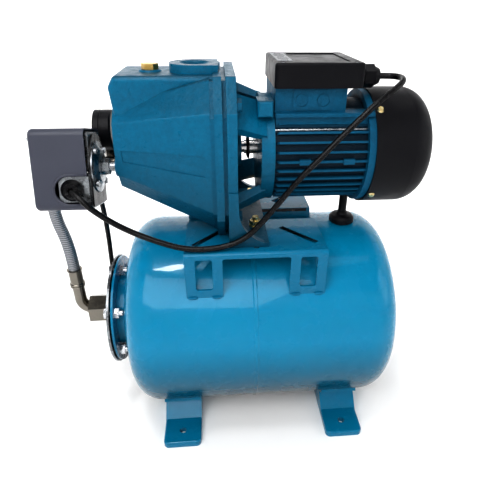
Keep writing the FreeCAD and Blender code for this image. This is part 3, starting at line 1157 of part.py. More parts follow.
def make_gauge():
    line = (0, s.gauge_y, s.gauge_z)
    wide = s.gauge_radius
    front = s.gauge_left
    back = s.gauge_back
    case = turned("gauge_cup", [
        (front, wide - 4), (front, wide), (front + 7, wide), (front + 7.5, wide - 0.6),
        (front + 8.5, wide - 0.6), (front + 9, wide), (back - 2, wide), (back, wide - 2),
        (back, 0), (back - 2, 0), (back - 2, wide - 2), (front + 2.5, wide - 2),
        (front + 2.5, wide - 4)], line)
    node("gauge_glass", rod("gauge_window", wide - 2.2, (front + 2.6, s.gauge_y, s.gauge_z), 1.5))
    dial = rod("gauge_face", wide - 1.9, (back - 7, s.gauge_y, s.gauge_z), 1)
    node("gauge_case", join("gauge_case_joined", case, dial))
    hub = rod("pointer_hub", 2.5, (back - 9, s.gauge_y, s.gauge_z), 1.8)
    hand = block("pointer_hand", (back - 8.8, s.gauge_y - 0.6, s.gauge_z - 16),
                 (back - 8, s.gauge_y + 0.6, s.gauge_z + 5))
    pointer = join("pointer_joined", hub, hand)
    node("gauge_pointer", pointer)
    stem_x = back - 10
    low = s.gauge_port_z
    stem = rod("gauge_stem_up", 5, (stem_x, s.gauge_port_y, low), s.gauge_z - wide - low - 0.3,
               "z")
    flat = hexagon("gauge_stem_hex", 14, (stem_x, s.gauge_port_y, s.gauge_z - wide - 9.3), 9, "z")
    knee = ball("gauge_knee", 7, (stem_x, s.gauge_port_y, low))
    run = rod("gauge_run", 5, (stem_x, s.gauge_port_y, low), s.nose_face + 14 - stem_x)
    nut = hexagon("gauge_run_hex", 15, (s.nose_face - 14, s.gauge_port_y, low), 10.5)
    node("gauge_fitting", join("gauge_fitting_joined", stem, flat, knee, run, nut))


# ---------- free lines ----------

hose_route = [
    (-200.8, 12, 364), (-225, 12, 364), (-248.5, 12, 355), (-266, 12, 336.5),
    (-276, 11.5, 311), (-275, 10, 285), (-267.5, 6.5, 259), (-262.5, 0, 236), (-262.5, 0, 212)]
cable_route = [
    (130, -20, 476), (146, -20, 476.3), (157.5, -31.5, 477), (157, -48, 476), (145.5, -60, 470),
    (126, -67.5, 459), (103, -75.5, 440), (80.5, -81, 420), (59.5, -85.5, 399), (41, -88, 381),
    (20, -90, 355.5), (-0.8, -91.5, 329), (-20, -93, 308), (-42, -95.5, 297.5),
    (-70, -98.5, 295.2), (-96, -98, 296.5), (-121, -94, 303), (-146, -90, 312),
    (-168, -88, 323.5), (-184, -88.5, 336), (-198, -88, 348.5), (-208, -83.5, 358),
    (-217, -75.5, 362.5)]
mains_route = [
    (-217, -8.5, 344.5), (-217, 6.9, 340), (-217, 20, 329), (-217.5, 28, 313),
    (-217.2, 32, 293), (-217.5, 35.5, 267), (-218.5, 38.5, 237), (-220.5, 41, 205),
    (-222, 43, 173), (-223, 45, 143), (-223, 49, 113), (-221.5, 58, 84), (-217, 72, 58),
    (-209, 90, 36), (-197, 109, 18), (-180, 127, 7), (-159, 142, 3.8), (-133, 153, 3.6),
    (-104, 158, 3.6), (-75, 160, 3.6), (-47, 162, 3.6), (-22, 163.5, 4.5), (0, 165, 6)]


def make_lines():
    node("braided_hose", swept("hose_line", hose_route, sizes["hose_radius"]))
    node("motor_cable", swept("cable_line", cable_route, sizes["cable_radius"]))
    node("mains_cord", swept("mains_line", mains_route, sizes["cable_radius"]))
    low = s.coil_middle - s.coil_wide / 2
    high = s.coil_middle + s.coil_wide / 2
    node("mains_coil", turned("coil_body", [
        (low + 3, 0), (high - 3, 0), (high, 3), (high, s.coil_high - 3), (high - 3, s.coil_high),
        (low + 3, s.coil_high), (low, s.coil_high - 3), (low, 3)],
        (s.coil_x, s.coil_y, 0.2), "V_Axis"))
    start = s.plug_start
    relief = cone("plug_relief", 4.2, 6.2, (start, s.plug_y, 8.2), 30)
    grip = slab("plug_grip", "XY_Plane", [
        (0, -8), (10, -16), (38, -17.5), (38, 17.5), (10, 16), (0, 8)], 16,
        (start + 28, s.plug_y, 0.2))
    rounded(grip, 3, lambda edge: not along(edge, "z") and edge.Length > 9)
    pins = [rod(f"plug_pin{n}", 2.4, (start + 65, s.plug_y + way * 9.5, 8.2), 20)
            for n, way in enumerate((-1, 1))]
    node("mains_plug", join("plug_joined", relief, grip, *pins))


make_tank()
make_foot(-1, "tank_foot_left")
make_foot(1, "tank_foot_right")
make_saddle()
make_tail_pipe()
make_pump_body()
make_cover_and_bracket()
make_hydraulics()
make_shaft_line()
make_motor_frame()
make_fan_cover()
make_terminal_box()
make_support_foot()
make_switch()
make_gauge()
make_lines()
doc.recompute()

for item in doc.Objects:
    if "Invalid" in item.State or "Error" in item.State:
        raise RuntimeError(f"{item.Name} failed: {item.State}")
os.makedirs("parts", exist_ok=True)
for item in nodes:
    shape = item.Shape
    if shape.isNull() or not shape.isValid() or not shape.Solids:
        raise RuntimeError(f"{item.Label} has no sound solid")
    shape.exportStep(f"parts/{item.Label}.step")
print(f"{len(nodes)} nodes written")
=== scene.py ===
import math

import bmesh
import bpy
from mathutils import Matrix, Vector


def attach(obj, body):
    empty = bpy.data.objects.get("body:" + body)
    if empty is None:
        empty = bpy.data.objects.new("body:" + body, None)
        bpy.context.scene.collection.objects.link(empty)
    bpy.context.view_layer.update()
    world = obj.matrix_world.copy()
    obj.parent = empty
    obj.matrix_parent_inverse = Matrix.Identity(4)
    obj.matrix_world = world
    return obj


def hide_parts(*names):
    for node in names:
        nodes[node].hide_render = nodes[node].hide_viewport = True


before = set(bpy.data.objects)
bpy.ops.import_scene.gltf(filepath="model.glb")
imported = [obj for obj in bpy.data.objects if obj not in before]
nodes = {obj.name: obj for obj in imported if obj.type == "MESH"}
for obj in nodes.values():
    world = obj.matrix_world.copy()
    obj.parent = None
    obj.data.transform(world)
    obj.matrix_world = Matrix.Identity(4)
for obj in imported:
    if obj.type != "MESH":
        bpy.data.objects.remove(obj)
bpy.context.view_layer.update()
mainBody = "pump_set"
print("frame loaded:", len(nodes), "nodes")


# camera and light

camera = {"place": (-0.0516, -0.5330, 0.5536), "turn": -5.04, "tilt": 61.81, "roll": 0.6,
          "lens": 31.56, "shift": (-0.0201, -0.0317)}


def makeCamera():
    lens = bpy.data.cameras.new("viewCamera")
    lens.lens = camera["lens"]
    lens.shift_x, lens.shift_y = camera["shift"]
    lens.clip_start = 0.01
    viewer = bpy.data.objects.new("viewCamera", lens)
    viewer.matrix_world = (Matrix.Translation(camera["place"])
                           @ Matrix.Rotation(math.radians(camera["turn"]), 4, "Z")
                           @ Matrix.Rotation(math.radians(camera["tilt"]), 4, "X")
                           @ Matrix.Rotation(math.radians(camera["roll"]), 4, "Z"))
    bpy.context.collection.objects.link(viewer)
    bpy.context.scene.camera = viewer


lights = {
    "key": {"place": (-0.9, -2.0, 2.7), "aim": (0.0, 0.0, 0.2), "size": (3.2, 2.0), "power": 90},
    "window": {"place": (-0.31, -0.34, 1.82), "aim": (-0.1175, -0.0735, 0.2552),
               "size": (0.12, 0.3), "power": 6},
    "top": {"place": (0.3, 0.5, 2.8), "aim": (0.0, 0.1, 0.0), "size": (2.4, 1.6), "power": 14},
    "side": {"place": (2.2, -0.8, 1.2), "aim": (0.0, 0.0, 0.25), "size": (0.9, 1.6), "power": 7},
    "backdrop": {"place": (-0.2, 0.9, 2.6), "aim": (0.0, 3.6, 1.2), "size": (3.2, 0.8),
                 "power": 105},
}
world = {"colour": (1.0, 1.0, 1.0, 1.0), "strength": 0.12}
contrast = 0.76                          # under 1 deepens the middle tones and keeps white white


def makeLights():
    for name, light in lights.items():
        lamp = bpy.data.lights.new(name, "AREA")
        lamp.shape = "RECTANGLE"
        lamp.size, lamp.size_y = light["size"]
        lamp.energy = light["power"]
        stand = bpy.data.objects.new(name, lamp)
        place = Vector(light["place"])
        aim = (Vector(light["aim"]) - place).to_track_quat("-Z", "Y")
        stand.matrix_world = Matrix.Translation(place) @ aim.to_matrix().to_4x4()
        bpy.context.collection.objects.link(stand)
    sky = bpy.data.worlds.new("studio")
    sky.use_nodes = True
    glow = sky.node_tree.nodes["Background"]
    glow.inputs["Color"].default_value = world["colour"]
    glow.inputs["Strength"].default_value = world["strength"]
    bpy.context.scene.world = sky
    bpy.context.scene.view_settings.view_transform = "Standard"
    bpy.context.scene.view_settings.gamma = contrast


makeCamera()
makeLights()
print("camera and lights placed")


# shader maths: a wire is a socket that can be added, scaled and so on

class Wire:
    def __init__(self, finish, socket):
        self.finish = finish
        self.socket = socket

    def sum(self, operation, first, second):
        return self.finish.node("ShaderNodeMath", {"operation": operation}, {0: first, 1: second})

    def __add__(self, other):
        return self.sum("ADD", self, other)

    def __mul__(self, other):
        return self.sum("MULTIPLY", self, other)

    __radd__ = __add__
    __rmul__ = __mul__


class Finish:
    def __init__(self, name, colour, roughness, **fixed):
        self.material = bpy.data.materials.new(name)
        self.material.use_nodes = True
        self.tree = self.material.node_tree
        self.skin = self.tree.nodes["Principled BSDF"]
        self.material.diffuse_color = (*colour, 1.0)
        self.set("Base Color", (*colour, 1.0))
        self.set("Roughness", roughness)
        for socket, value in fixed.items():
            self.set(socket.replace("_", " "), value)

    def set(self, socket, value):
        self.plug(self.skin.inputs[socket], value)

    def plug(self, socket, value):
        if isinstance(value, Wire):
            self.tree.links.new(value.socket, socket)
        else:
            socket.default_value = value

    def node(self, kind, settings=None, sockets=None, output=0):
        made = self.tree.nodes.new(kind)
        for name, value in (settings or {}).items():
            setattr(made, name, value)
        for name, value in (sockets or {}).items():
            self.plug(made.inputs[name], value)
        return Wire(self, made.outputs[output])

    def spot(self):                      # where a point is on the object, in metres
        return self.node("ShaderNodeTexCoord", output="Object")

    def part(self, vector, axis):
        return self.node("ShaderNodeSeparateXYZ", None, {"Vector": vector}, axis)

    def clouds(self, scale, detail=2.0, rough=0.5, stretch=None):
        where = self.spot()
        if stretch:
            where = self.node("ShaderNodeMapping", None, {"Vector": where, "Scale": stretch})
        return self.node("ShaderNodeTexNoise", None, {
            "Vector": where, "Scale": scale, "Detail": detail, "Roughness": rough})

    def cells(self, scale, output="Distance"):
        return self.node("ShaderNodeTexVoronoi", None, {"Vector": self.spot(), "Scale": scale},
                         output)

    def ramp(self, value, start, end, low, high):
        return self.node("ShaderNodeMapRange", None, {
            "Value": value, "From Min": start, "From Max": end, "To Min": low, "To Max": high})

    def rise(self, value, edges):        # 0 below the first edge, 1 above the second
        return self.ramp(value, *edges, 0.0, 1.0)

    def fall(self, value, edges):
        return self.ramp(value, *edges, 1.0, 0.0)

    def between(self, mask, low, high):  # noise stretched over a range of values
        return self.ramp(mask, 0.3, 0.7, low, high)

    def tint(self, mask, *colours):
        first, second = (colour if isinstance(colour, Wire) else (*colour, 1.0)
                         for colour in colours)
        return self.node("ShaderNodeMix", {"data_type": "RGBA"}, {0: mask, 6: first, 7: second}, 2)

    def relief(self, height, strength, depth):
        self.set("Normal", self.node("ShaderNodeBump", None, {
            "Height": height, "Strength": strength, "Distance": depth}))


# painted shade colours: under darkens the tank's lower part, the next one darkens the saddle's slots
# and the tank below them
blue = {"deep": (0.0, 0.21, 0.36), "bright": (0.0, 0.255, 0.43), "under": (0.001, 0.01, 0.016),
        "saddleShade": (0.003, 0.006, 0.009), "pressedDeep": (0.0, 0.16, 0.28),
        "pressed": (0.0, 0.185, 0.32), "peel": 260}


def enamel(name, first, second):         # sprayed gloss over smooth pressed steel
    finish = Finish(name, second, 0.24, Specular_IOR_Level=0.2, Coat_Weight=0.4,
                    Coat_Roughness=0.03, Coat_IOR=1.42)
    sprayed = finish.tint(finish.clouds(9, 3), first, second)
    finish.set("Base Color", sprayed)
    finish.set("Roughness", finish.between(finish.clouds(40, 3), 0.2, 0.32))
    peel = finish.clouds(blue["peel"], 2) + 0.4 * finish.clouds(30, 1)
    finish.relief(peel, 0.07, 0.0006)
    return finish, sprayed


def pressedEnamel():
    finish, _ = enamel("pressedEnamel", blue["pressedDeep"], blue["pressed"])
    return finish.material


# where painted shade darkens the slot walls and the plate's underside
slotWalls = {"left": (-0.092, -0.091), "right": (0.07, 0.071), "near": (-0.095, -0.094),
             "far": (0.094, 0.095), "under": (0.286, 0.2865), "top": (0.2899, 0.2906)}


def saddleEnamel():                      # painted shade: the cut walls of the slots and the plate's underside are near black
    finish, sprayed = enamel("saddleEnamel", blue["pressedDeep"], blue["pressed"])
    along = finish.part(finish.spot(), "X")
    across = finish.part(finish.spot(), "Y")
    height = finish.part(finish.spot(), "Z")
    walls = finish.fall(height, slotWalls["top"]) * finish.rise(height, slotWalls["under"])
    inside = (finish.rise(along, slotWalls["left"]) * finish.fall(along, slotWalls["right"])
              * finish.rise(across, slotWalls["near"]) * finish.fall(across, slotWalls["far"]))
    finish.set("Base Color", finish.tint(walls * inside, sprayed, blue["saddleShade"]))
    return finish.material


# bands of painted shade on the tank: towards the bottom, and on its top under the saddle
tankShade = {"shadeBelow": (0.055, 0.172), "shadeUnderSaddle": (0.268, 0.274), "left": (-0.092, -0.09),
             "right": (0.069, 0.071)}


def tankEnamel():                        # painted shade: darker towards the bottom, and near black on the tank top under the saddle
    finish, sprayed = enamel("tankEnamel", blue["deep"], blue["bright"])
    along = finish.part(finish.spot(), "X")
    height = finish.part(finish.spot(), "Z")
    shadeUnderSaddle = (finish.rise(height, tankShade["shadeUnderSaddle"]) * finish.rise(along, tankShade["left"])
            * finish.fall(along, tankShade["right"]))
    shadedBelow = finish.tint(finish.fall(height, tankShade["shadeBelow"]), sprayed, blue["under"])
    finish.set("Base Color", finish.tint(shadeUnderSaddle, shadedBelow, blue["saddleShade"]))
    return finish.material


castBlue = {"cast": (0.0, 0.14, 0.25), "deep": (0.0, 0.175, 0.3), "worn": (0.003, 0.09, 0.16),
            "shade": (0.002, 0.05, 0.085), "rough": (0.26, 0.46), "upper": (0.43, 0.45),
            "facing": (0.4, 0.9), "lower": (0.305, 0.42), "topShade": 0.8, "lowShade": 0.75}
# the darkest colour here is painted shade between the fins
motorBlue = {"cast": (0.0, 0.1, 0.19), "deep": (0.0, 0.13, 0.235), "worn": (0.003, 0.07, 0.13),
             "rough": (0.5, 0.66), "finShade": (0.001, 0.018, 0.036), "axis": 0.3875,
             "fin": (0.0605, 0.0645)}


def castEnamel(name, tones):             # the same paint over sand castings, with grain and pits
    finish = Finish(name, tones["cast"], 0.32, Specular_IOR_Level=0.2, Coat_Weight=0.08,
                    Coat_Roughness=0.2)
    patches = finish.tint(finish.clouds(22, 4), tones["cast"], tones["deep"])
    dust = finish.between(finish.clouds(160, 5, 0.7), 0.0, 0.5)
    paint = finish.tint(dust, patches, tones["worn"])
    finish.set("Base Color", paint)
    finish.set("Roughness", finish.between(finish.clouds(120, 3), *tones["rough"]))
    grain = finish.clouds(420, 3, 0.6)
    lumps = finish.clouds(90, 2)
    pits = finish.cells(260)
    finish.relief(grain * 0.5 + lumps * 0.8 + pits * 0.25, 0.5, 0.0014)
    return finish, paint


def bodyEnamel():                        # painted shade: darker on the flat tops that face up and towards the lower half
    finish, paint = castEnamel("castEnamel", castBlue)
    height = finish.part(finish.spot(), "Z")
    facing = finish.part(finish.node("ShaderNodeNewGeometry", output="Normal"), "Z")
    top = (finish.ramp(facing, *castBlue["facing"], 0.0, castBlue["topShade"])
           * finish.rise(height, castBlue["upper"]))
    low = finish.ramp(height, *castBlue["lower"], castBlue["lowShade"], 0.0)
    finish.set("Base Color", finish.tint(top + low, paint, castBlue["shade"]))
    return finish.material


def motorEnamel():                       # painted shade: dark between the fins, their crests keep the full paint colour
    finish, paint = castEnamel("motorEnamel", motorBlue)
    across = finish.node("ShaderNodeVectorMath", {"operation": "MULTIPLY"}, {
        0: finish.spot(), 1: (0, 1, 1)})
    out = finish.node("ShaderNodeVectorMath", {"operation": "DISTANCE"}, {
        0: across, 1: (0, 0, motorBlue["axis"])}, "Value")
    crestMask = finish.rise(out, motorBlue["fin"])
    finish.set("Base Color", finish.tint(crestMask, motorBlue["finShade"], paint))
    return finish.material


def blackMoulding(name, colour, rough, grain):
    finish = Finish(name, colour, rough, Specular_IOR_Level=0.2)
    finish.set("Roughness", finish.between(finish.clouds(60, 3), rough - 0.06, rough + 0.08))
    paler = tuple(part * 1.5 + 0.004 for part in colour)
    finish.set("Base Color", finish.tint(finish.clouds(14, 4), colour, paler))
    finish.relief(finish.clouds(grain, 2), 0.18, 0.0004)
    return finish.material


def switchMoulding():
    finish = Finish("switchGrey", (0.08, 0.082, 0.11), 0.34)
    finish.set("Base Color", finish.tint(finish.clouds(16, 3), (0.05, 0.054, 0.078),
                                         (0.064, 0.069, 0.095)))
    finish.set("Roughness", finish.between(finish.clouds(70, 3), 0.36, 0.5))
    finish.relief(finish.clouds(900, 2), 0.14, 0.0003)
    return finish.material


def zinc(name, first, second, rough, spangle):
    finish = Finish(name, first, rough, Metallic=1.0)
    patch = finish.cells(spangle, output="Color")
    grey = finish.node("ShaderNodeSeparateColor", None, {"Color": patch})
    finish.set("Base Color", finish.tint(grey, first, second))
    finish.set("Roughness", finish.between(finish.clouds(160, 3), rough - 0.08, rough + 0.1))
    finish.relief(finish.clouds(500, 3), 0.16, 0.0004)
    return finish.material


def turnedMetal(name, first, second, rough, grain=(1, 1, 1)):
    finish = Finish(name, first, rough, Metallic=1.0)
    lines = finish.clouds(300, 3, 0.6, grain)
    finish.set("Base Color", finish.tint(finish.clouds(30, 3), first, second))
    finish.set("Roughness", finish.between(lines, rough - 0.04, rough + 0.08))
    finish.relief(lines, 0.05, 0.0002)
    return finish.material


def rubberSkin():
    finish = Finish("rubber", (0.004, 0.004, 0.005), 0.26, Specular_IOR_Level=0.3)
    finish.set("Base Color", finish.tint(finish.clouds(40, 3), (0.002, 0.002, 0.003),
                                         (0.005, 0.005, 0.006)))
    finish.set("Roughness", finish.between(finish.clouds(90, 3), 0.2, 0.32))
    finish.relief(finish.clouds(1200, 2), 0.1, 0.0002)
    return finish.material


def copperWire():
    finish = Finish("windings", (0.55, 0.2, 0.08), 0.3, Metallic=0.9)
    turns = finish.node("ShaderNodeTexWave", {"bands_direction": "X"}, {
        "Vector": finish.spot(), "Scale": 420, "Distortion": 1.5})
    finish.set("Base Color", finish.tint(turns, (0.35, 0.1, 0.04), (0.62, 0.25, 0.1)))
    finish.relief(turns, 0.5, 0.0006)
    return finish.material


def clearGlass():
    finish = Finish("gaugeGlass", (0.95, 0.98, 0.98), 0.03, Transmission_Weight=1.0, IOR=1.45)
    finish.set("Roughness", finish.between(finish.clouds(60, 2), 0.02, 0.05))
    return finish.material


def labelFoil():
    finish = Finish("labelFoil", (0.13, 0.14, 0.16), 0.4, Metallic=0.4)
    lines = finish.clouds(260, 2, 0.5, (1, 0.05, 1))
    finish.set("Base Color", finish.tint(lines, (0.1, 0.105, 0.12), (0.16, 0.17, 0.19)))
    finish.set("Roughness", finish.between(lines, 0.24, 0.38))
    return finish.material


def palePlastic():
    finish = Finish("paleMoulding", (0.7, 0.69, 0.66), 0.4)
    finish.set("Base Color", finish.tint(finish.clouds(20, 3), (0.62, 0.61, 0.58),
                                         (0.74, 0.73, 0.7)))
    finish.relief(finish.clouds(700, 2), 0.12, 0.0003)
    return finish.material


finishes = {
    "tankEnamel": tankEnamel(),
    "pressedEnamel": pressedEnamel(),
    "saddleEnamel": saddleEnamel(),
    "castEnamel": bodyEnamel(),
    "motorEnamel": motorEnamel(),
    "cowl": blackMoulding("cowlBlack", (0.004, 0.004, 0.006), 0.42, 900),
    "boxBlack": blackMoulding("boxBlack", (0.003, 0.003, 0.005), 0.36, 700),
    "switchGrey": switchMoulding(),
    "galvanised": zinc("galvanised", (0.22, 0.23, 0.24), (0.36, 0.38, 0.4), 0.28, 120),
    "zincPlate": zinc("zincPlate", (0.6, 0.61, 0.63), (0.72, 0.73, 0.75), 0.26, 400),
    "yellowZinc": zinc("yellowZinc", (0.68, 0.52, 0.24), (0.72, 0.66, 0.42), 0.28, 300),
    "nickel": turnedMetal("nickel", (0.2, 0.185, 0.16), (0.3, 0.28, 0.245), 0.18),
    "brass": turnedMetal("brass", (0.62, 0.42, 0.13), (0.7, 0.5, 0.2), 0.3),
    "bareSteel": turnedMetal("bareSteel", (0.5, 0.5, 0.5), (0.62, 0.62, 0.62), 0.22, (40, 1, 1)),
    "rubber": rubberSkin(),
    "copper": copperWire(),
    "glass": clearGlass(),
    "foil": labelFoil(),
    "pale": palePlastic(),
}

wearing = {
    "tankEnamel": "tank_shell",
    "pressedEnamel": "tank_foot_left tank_foot_right",
    "saddleEnamel": "saddle",
    "castEnamel": "pump_body motor_bracket seal_cover body_bolts",
    "motorEnamel": "motor_frame",
    "cowl": "fan_cover cooling_fan ejector support_foot air_valve_cap",
    "boxBlack": "terminal_lid cable_gland gauge_case",
    "switchGrey": "switch_cover",
    "galvanised": "tank_counterflange switch_base switch_flange",
    "zincPlate": "flange_fixings lid_screws tie_bolts cover_nut range_adjuster",
    "yellowZinc": "foot_fixings fan_cover_screws",
    "nickel": "hose_fittings hose_tail_pipe hose_union_nut seal_rotating gauge_fitting",
    "brass": "priming_plug drain_plug impeller air_valve contact_lever",
    "bareSteel": "shaft rotor_core front_bearing rear_bearing rear_shield",
    "rubber": "body_oring tank_membrane switch_diaphragm switch_grommets slinger mains_plug",
    "copper": "stator",
    "glass": "gauge_glass",
    "foil": "data_label",
    "pale": "push_rod seal_stationary start_gear gauge_pointer",
}

for finishName, names in wearing.items():
    for nodeName in names.split():
        mesh = nodes[nodeName].data
        mesh.materials.clear()
        mesh.materials.append(finishes[finishName])
print("finishes on", sum(len(names.split()) for names in wearing.values()), "nodes")


# cords and hose

def makePiece(name, shape, material):
    bmesh.ops.recalc_face_normals(shape, faces=shape.faces)
    mesh = bpy.data.meshes.new(name)
    shape.to_mesh(mesh)
    shape.free()
    mesh.materials.append(material)
    piece = bpy.data.objects.new(name, mesh)
    bpy.context.collection.objects.link(piece)
    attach(piece, mainBody)
    return piece


def skinOver(shape, rings):              # closes a row of rings into one smooth solid
    for near, far in zip(rings, rings[1:]):
        for part in range(len(near)):
            after = (part + 1) % len(near)
            shape.faces.new((near[part], near[after], far[after], far[part])).smooth = True
    shape.faces.new(rings[0][::-1])
    shape.faces.new(rings[-1])


def millimetres(points):
    return [Vector(point) / 1000 for point in points]


def route(name, points):                 # the smooth line of a cord through its control points
    line = bpy.data.curves.new(name, "CURVE")
    line.dimensions = "3D"
    line.resolution_u = 10
    spline = line.splines.new("NURBS")
    spline.points.add(len(points) - 1)
    for knot, point in zip(spline.points, points):
        knot.co = (*point, 1.0)
    spline.order_u = 3
    spline.use_endpoint_u = True
    cord = bpy.data.objects.new(name, line)
    bpy.context.collection.objects.link(cord)
    return cord


def roundCord(name, points, radius, material):
    cord = route(name, points)
    cord.data.bevel_depth = radius
    cord.data.bevel_resolution = 6
    cord.data.use_fill_caps = True
    cord.data.materials.append(material)
    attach(cord, mainBody)
    return cord


motorCable = {"radius": 0.0034, "length": 0.521, "exit": (136, -20, 476), "points": [
    (130, -20, 476), (146, -20, 476.3), (157.5, -31.5, 477), (157, -48, 476),
    (145.5, -60, 470), (126, -67.5, 459), (103, -75.5, 440), (80.5, -81, 420),
    (59.5, -85.5, 399), (41, -88, 381), (20, -90, 355.5), (-0.8, -91.5, 329), (-20, -93, 308),
    (-42, -95.5, 297.5), (-70, -98.5, 295.2), (-96, -98, 296.5), (-121, -94, 303),
    (-146, -90, 312), (-168, -88, 323.5), (-184, -88.5, 336), (-198, -88, 348.5),
    (-208, -83.5, 358), (-217, -75.5, 362.5)]}
mainsCord = {"radius": 0.0034, "length": 1.48, "exit": (-217, -5.9, 343.7), "points": [
    (-217, -8.5, 344.5), (-217, 6.9, 340), (-217, 20, 329), (-217.5, 28, 313),
    (-217.2, 32, 293), (-217.5, 35.5, 267), (-218.5, 38.5, 237), (-220.5, 41, 205),
    (-222, 43, 173), (-223, 45, 143), (-223, 49, 113), (-221.5, 58, 84), (-217, 72, 58),
    (-209, 90, 36), (-197, 109, 18), (-180, 127, 7), (-159, 142, 3.8), (-133, 153, 3.6),
    (-104, 159, 3.6), (-75, 163, 3.6), (-47, 168, 3.6), (-22, 173, 3.6)],
    "coil": {"middle": (0, 128), "outside": 42.6, "step": 7.0, "low": 3.6, "high": 10.8,
             "perTurn": 8, "turns": 4, "climb": (2.0, 2.25)},
    "tail": [(7, 171.5, 10), (22, 172, 8.2)]}
hose = {"radius": 0.0079, "length": 0.202, "carriers": 16, "pitch": 0.0056, "relief": 0.0009,
        "wires": 4, "ripple": 0.12, "bulge": 0.25,
        "around": 100, "step": 0.0006, "points": [
            (-200.8, 12, 364), (-225, 12, 364), (-248.5, 12, 355), (-266, 12, 336.5),
            (-276, 11.5, 311), (-275, 10, 285), (-267.5, 6.5, 259), (-262.5, 0, 236),
            (-262.5, 0, 212)]}


def coilPoints(coil):                    # flat spiral inwards, a climb, and a spiral back out on top
    points = []
    pull = math.cos(math.pi / coil["perTurn"])
    start, end = coil["climb"]
    for count in range(1, coil["turns"] * coil["perTurn"] + 1):
        turns = count / coil["perTurn"]
        inward = min(turns, start) - max(turns - end, 0)
        height = coil["low"] + (coil["high"] - coil["low"]) * min(
            max((turns - start) / (end - start), 0), 1)
        angle = math.pi / 2 - 2 * math.pi * turns
        radius = (coil["outside"] - coil["step"] * inward) / pull
        points.append((coil["middle"][0] + radius * math.cos(angle),
                       coil["middle"][1] + radius * math.sin(angle), height))
    return points


def makeCords():
    cable = roundCord("motorCableFlex", millimetres(motorCable["points"]), motorCable["radius"],
                      finishes["rubber"])
    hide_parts("motor_cable")
    points = mainsCord["points"] + coilPoints(mainsCord["coil"]) + mainsCord["tail"]
    mains = roundCord("mainsCordFlex", millimetres(points), mainsCord["radius"],
                      finishes["rubber"])
    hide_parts("mains_cord", "mains_coil")


def linePoints(name, points):            # the route's own smooth line, as a list of places
    guide = route(name, points)
    guide.data.resolution_u = 24
    mesh = bpy.data.meshes.new_from_object(guide)
    found = [vertex.co.copy() for vertex in mesh.vertices]
    bpy.data.objects.remove(guide)
    bpy.data.meshes.remove(mesh)
    return found


def evenly(points, step):
    run = [0.0]
    for before, after in zip(points, points[1:]):
        run.append(run[-1] + (after - before).length)
    count = int(run[-1] / step)
    spots, place = [], 0
    for index in range(count + 1):
        want = run[-1] * index / count
        while place < len(run) - 2 and run[place + 1] < want:
            place += 1
        share = (want - run[place]) / (run[place + 1] - run[place])
        spots.append(points[place].lerp(points[place + 1], share))
    return spots, run[-1]


def weave(around, along, carriers, pitch):  # height of crossing strands, 0 to 1
    first = carriers * around + along / pitch
    second = carriers * around - along / pitch
    over = (math.floor(first) + math.floor(second)) % 2 == 0
    across = (first if over else second) % 1.0
    strand = (second if over else first) % 1.0
    crown = math.sqrt(max(1 - (2 * across - 1) ** 2, 0.0))
    ripple = hose["ripple"] * math.cos(2 * math.pi * hose["wires"] * across)
    bulge = 1 - hose["bulge"] + hose["bulge"] * math.sin(math.pi * strand)
    return crown * bulge + ripple * crown


def makeHose():
    spots, total = evenly(linePoints("hoseGuide", millimetres(hose["points"])), hose["step"])
    shape = bmesh.new()
    side = Vector((0, 1, 0))
    rings = []
    for index, spot in enumerate(spots):
        ahead = (spots[min(index + 1, len(spots) - 1)] - spots[max(index - 1, 0)]).normalized()
        side = (side - side.dot(ahead) * ahead).normalized()
        up = ahead.cross(side)
        ring = []
        for part in range(hose["around"]):
            turn = part / hose["around"]
            height = weave(turn, total * index / (len(spots) - 1), hose["carriers"], hose["pitch"])
            radius = hose["radius"] + hose["relief"] * (height - 1)
            out = math.cos(2 * math.pi * turn) * side + math.sin(2 * math.pi * turn) * up
            ring.append(shape.verts.new(spot + radius * out))
        rings.append(ring)
    skinOver(shape, rings)
    braid = makePiece("braidedHoseLine", shape, braidWire())
    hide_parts("braided_hose")


def braidWire():
    finish = Finish("braidWire", (0.3, 0.31, 0.33), 0.32, Metallic=0.9)
    fleck = finish.clouds(900, 2)
    # painted shade: dark wave bands stand for the shade between the braid's strands
    strandShade = finish.node("ShaderNodeTexWave", {"bands_direction": "Z"}, {
        "Vector": finish.spot(), "Scale": 115, "Distortion": 2.5})
    finish.set("Base Color", finish.tint(strandShade, (0.14, 0.145, 0.155), (0.46, 0.47, 0.5)))
    finish.set("Roughness", finish.between(fleck, 0.26, 0.42))
    return finish.material


makeCords()
makeHose()
print("cords and hose laid")


# small pieces that the castings and pressings carry

welds = {"thick": 2.1, "long": 12, "ripple": 0.16, "step": 1.5, "height": 229.6, "side": 104.1,
         "starts": (-95, -65.5, 32.5, 61.5), "rings": 48, "around": 14, "blunt": 0.35, "flat": 0.8}


def makeWelds():                         # short rippled beads where the saddle's legs meet the tank
    for number, start in enumerate(welds["starts"]):
        for side in (-1, 1):
            shape = bmesh.new()
            rings = []
            for index in range(1, welds["rings"]):
                place = index / welds["rings"]
                swell = math.sin(math.pi * place) ** welds["blunt"]
                wave = 1 + welds["ripple"] * math.sin(
                    2 * math.pi * welds["long"] * place / welds["step"])
                radius = welds["thick"] * swell * wave
                ring = []
                for part in range(welds["around"]):
                    turn = 2 * math.pi * part / welds["around"]
                    spot = (start + welds["long"] * place,
                            side * welds["side"] + radius * math.cos(turn),
                            welds["height"] + welds["flat"] * radius * math.sin(turn))
                    ring.append(shape.verts.new(Vector(spot) / 1000))
                rings.append(ring)
            skinOver(shape, rings)
            makePiece(f"weldBead{number}{'near' if side < 0 else 'far'}", shape,
                      finishes["pressedEnamel"])


label = {"middle": (23.5, 1), "size": (15, 74), "top": 495.1, "rows": 7,
         "long": 0.8, "short": 0.55, "fill": 0.3, "sunk": 0.25, "thick": 0.3}


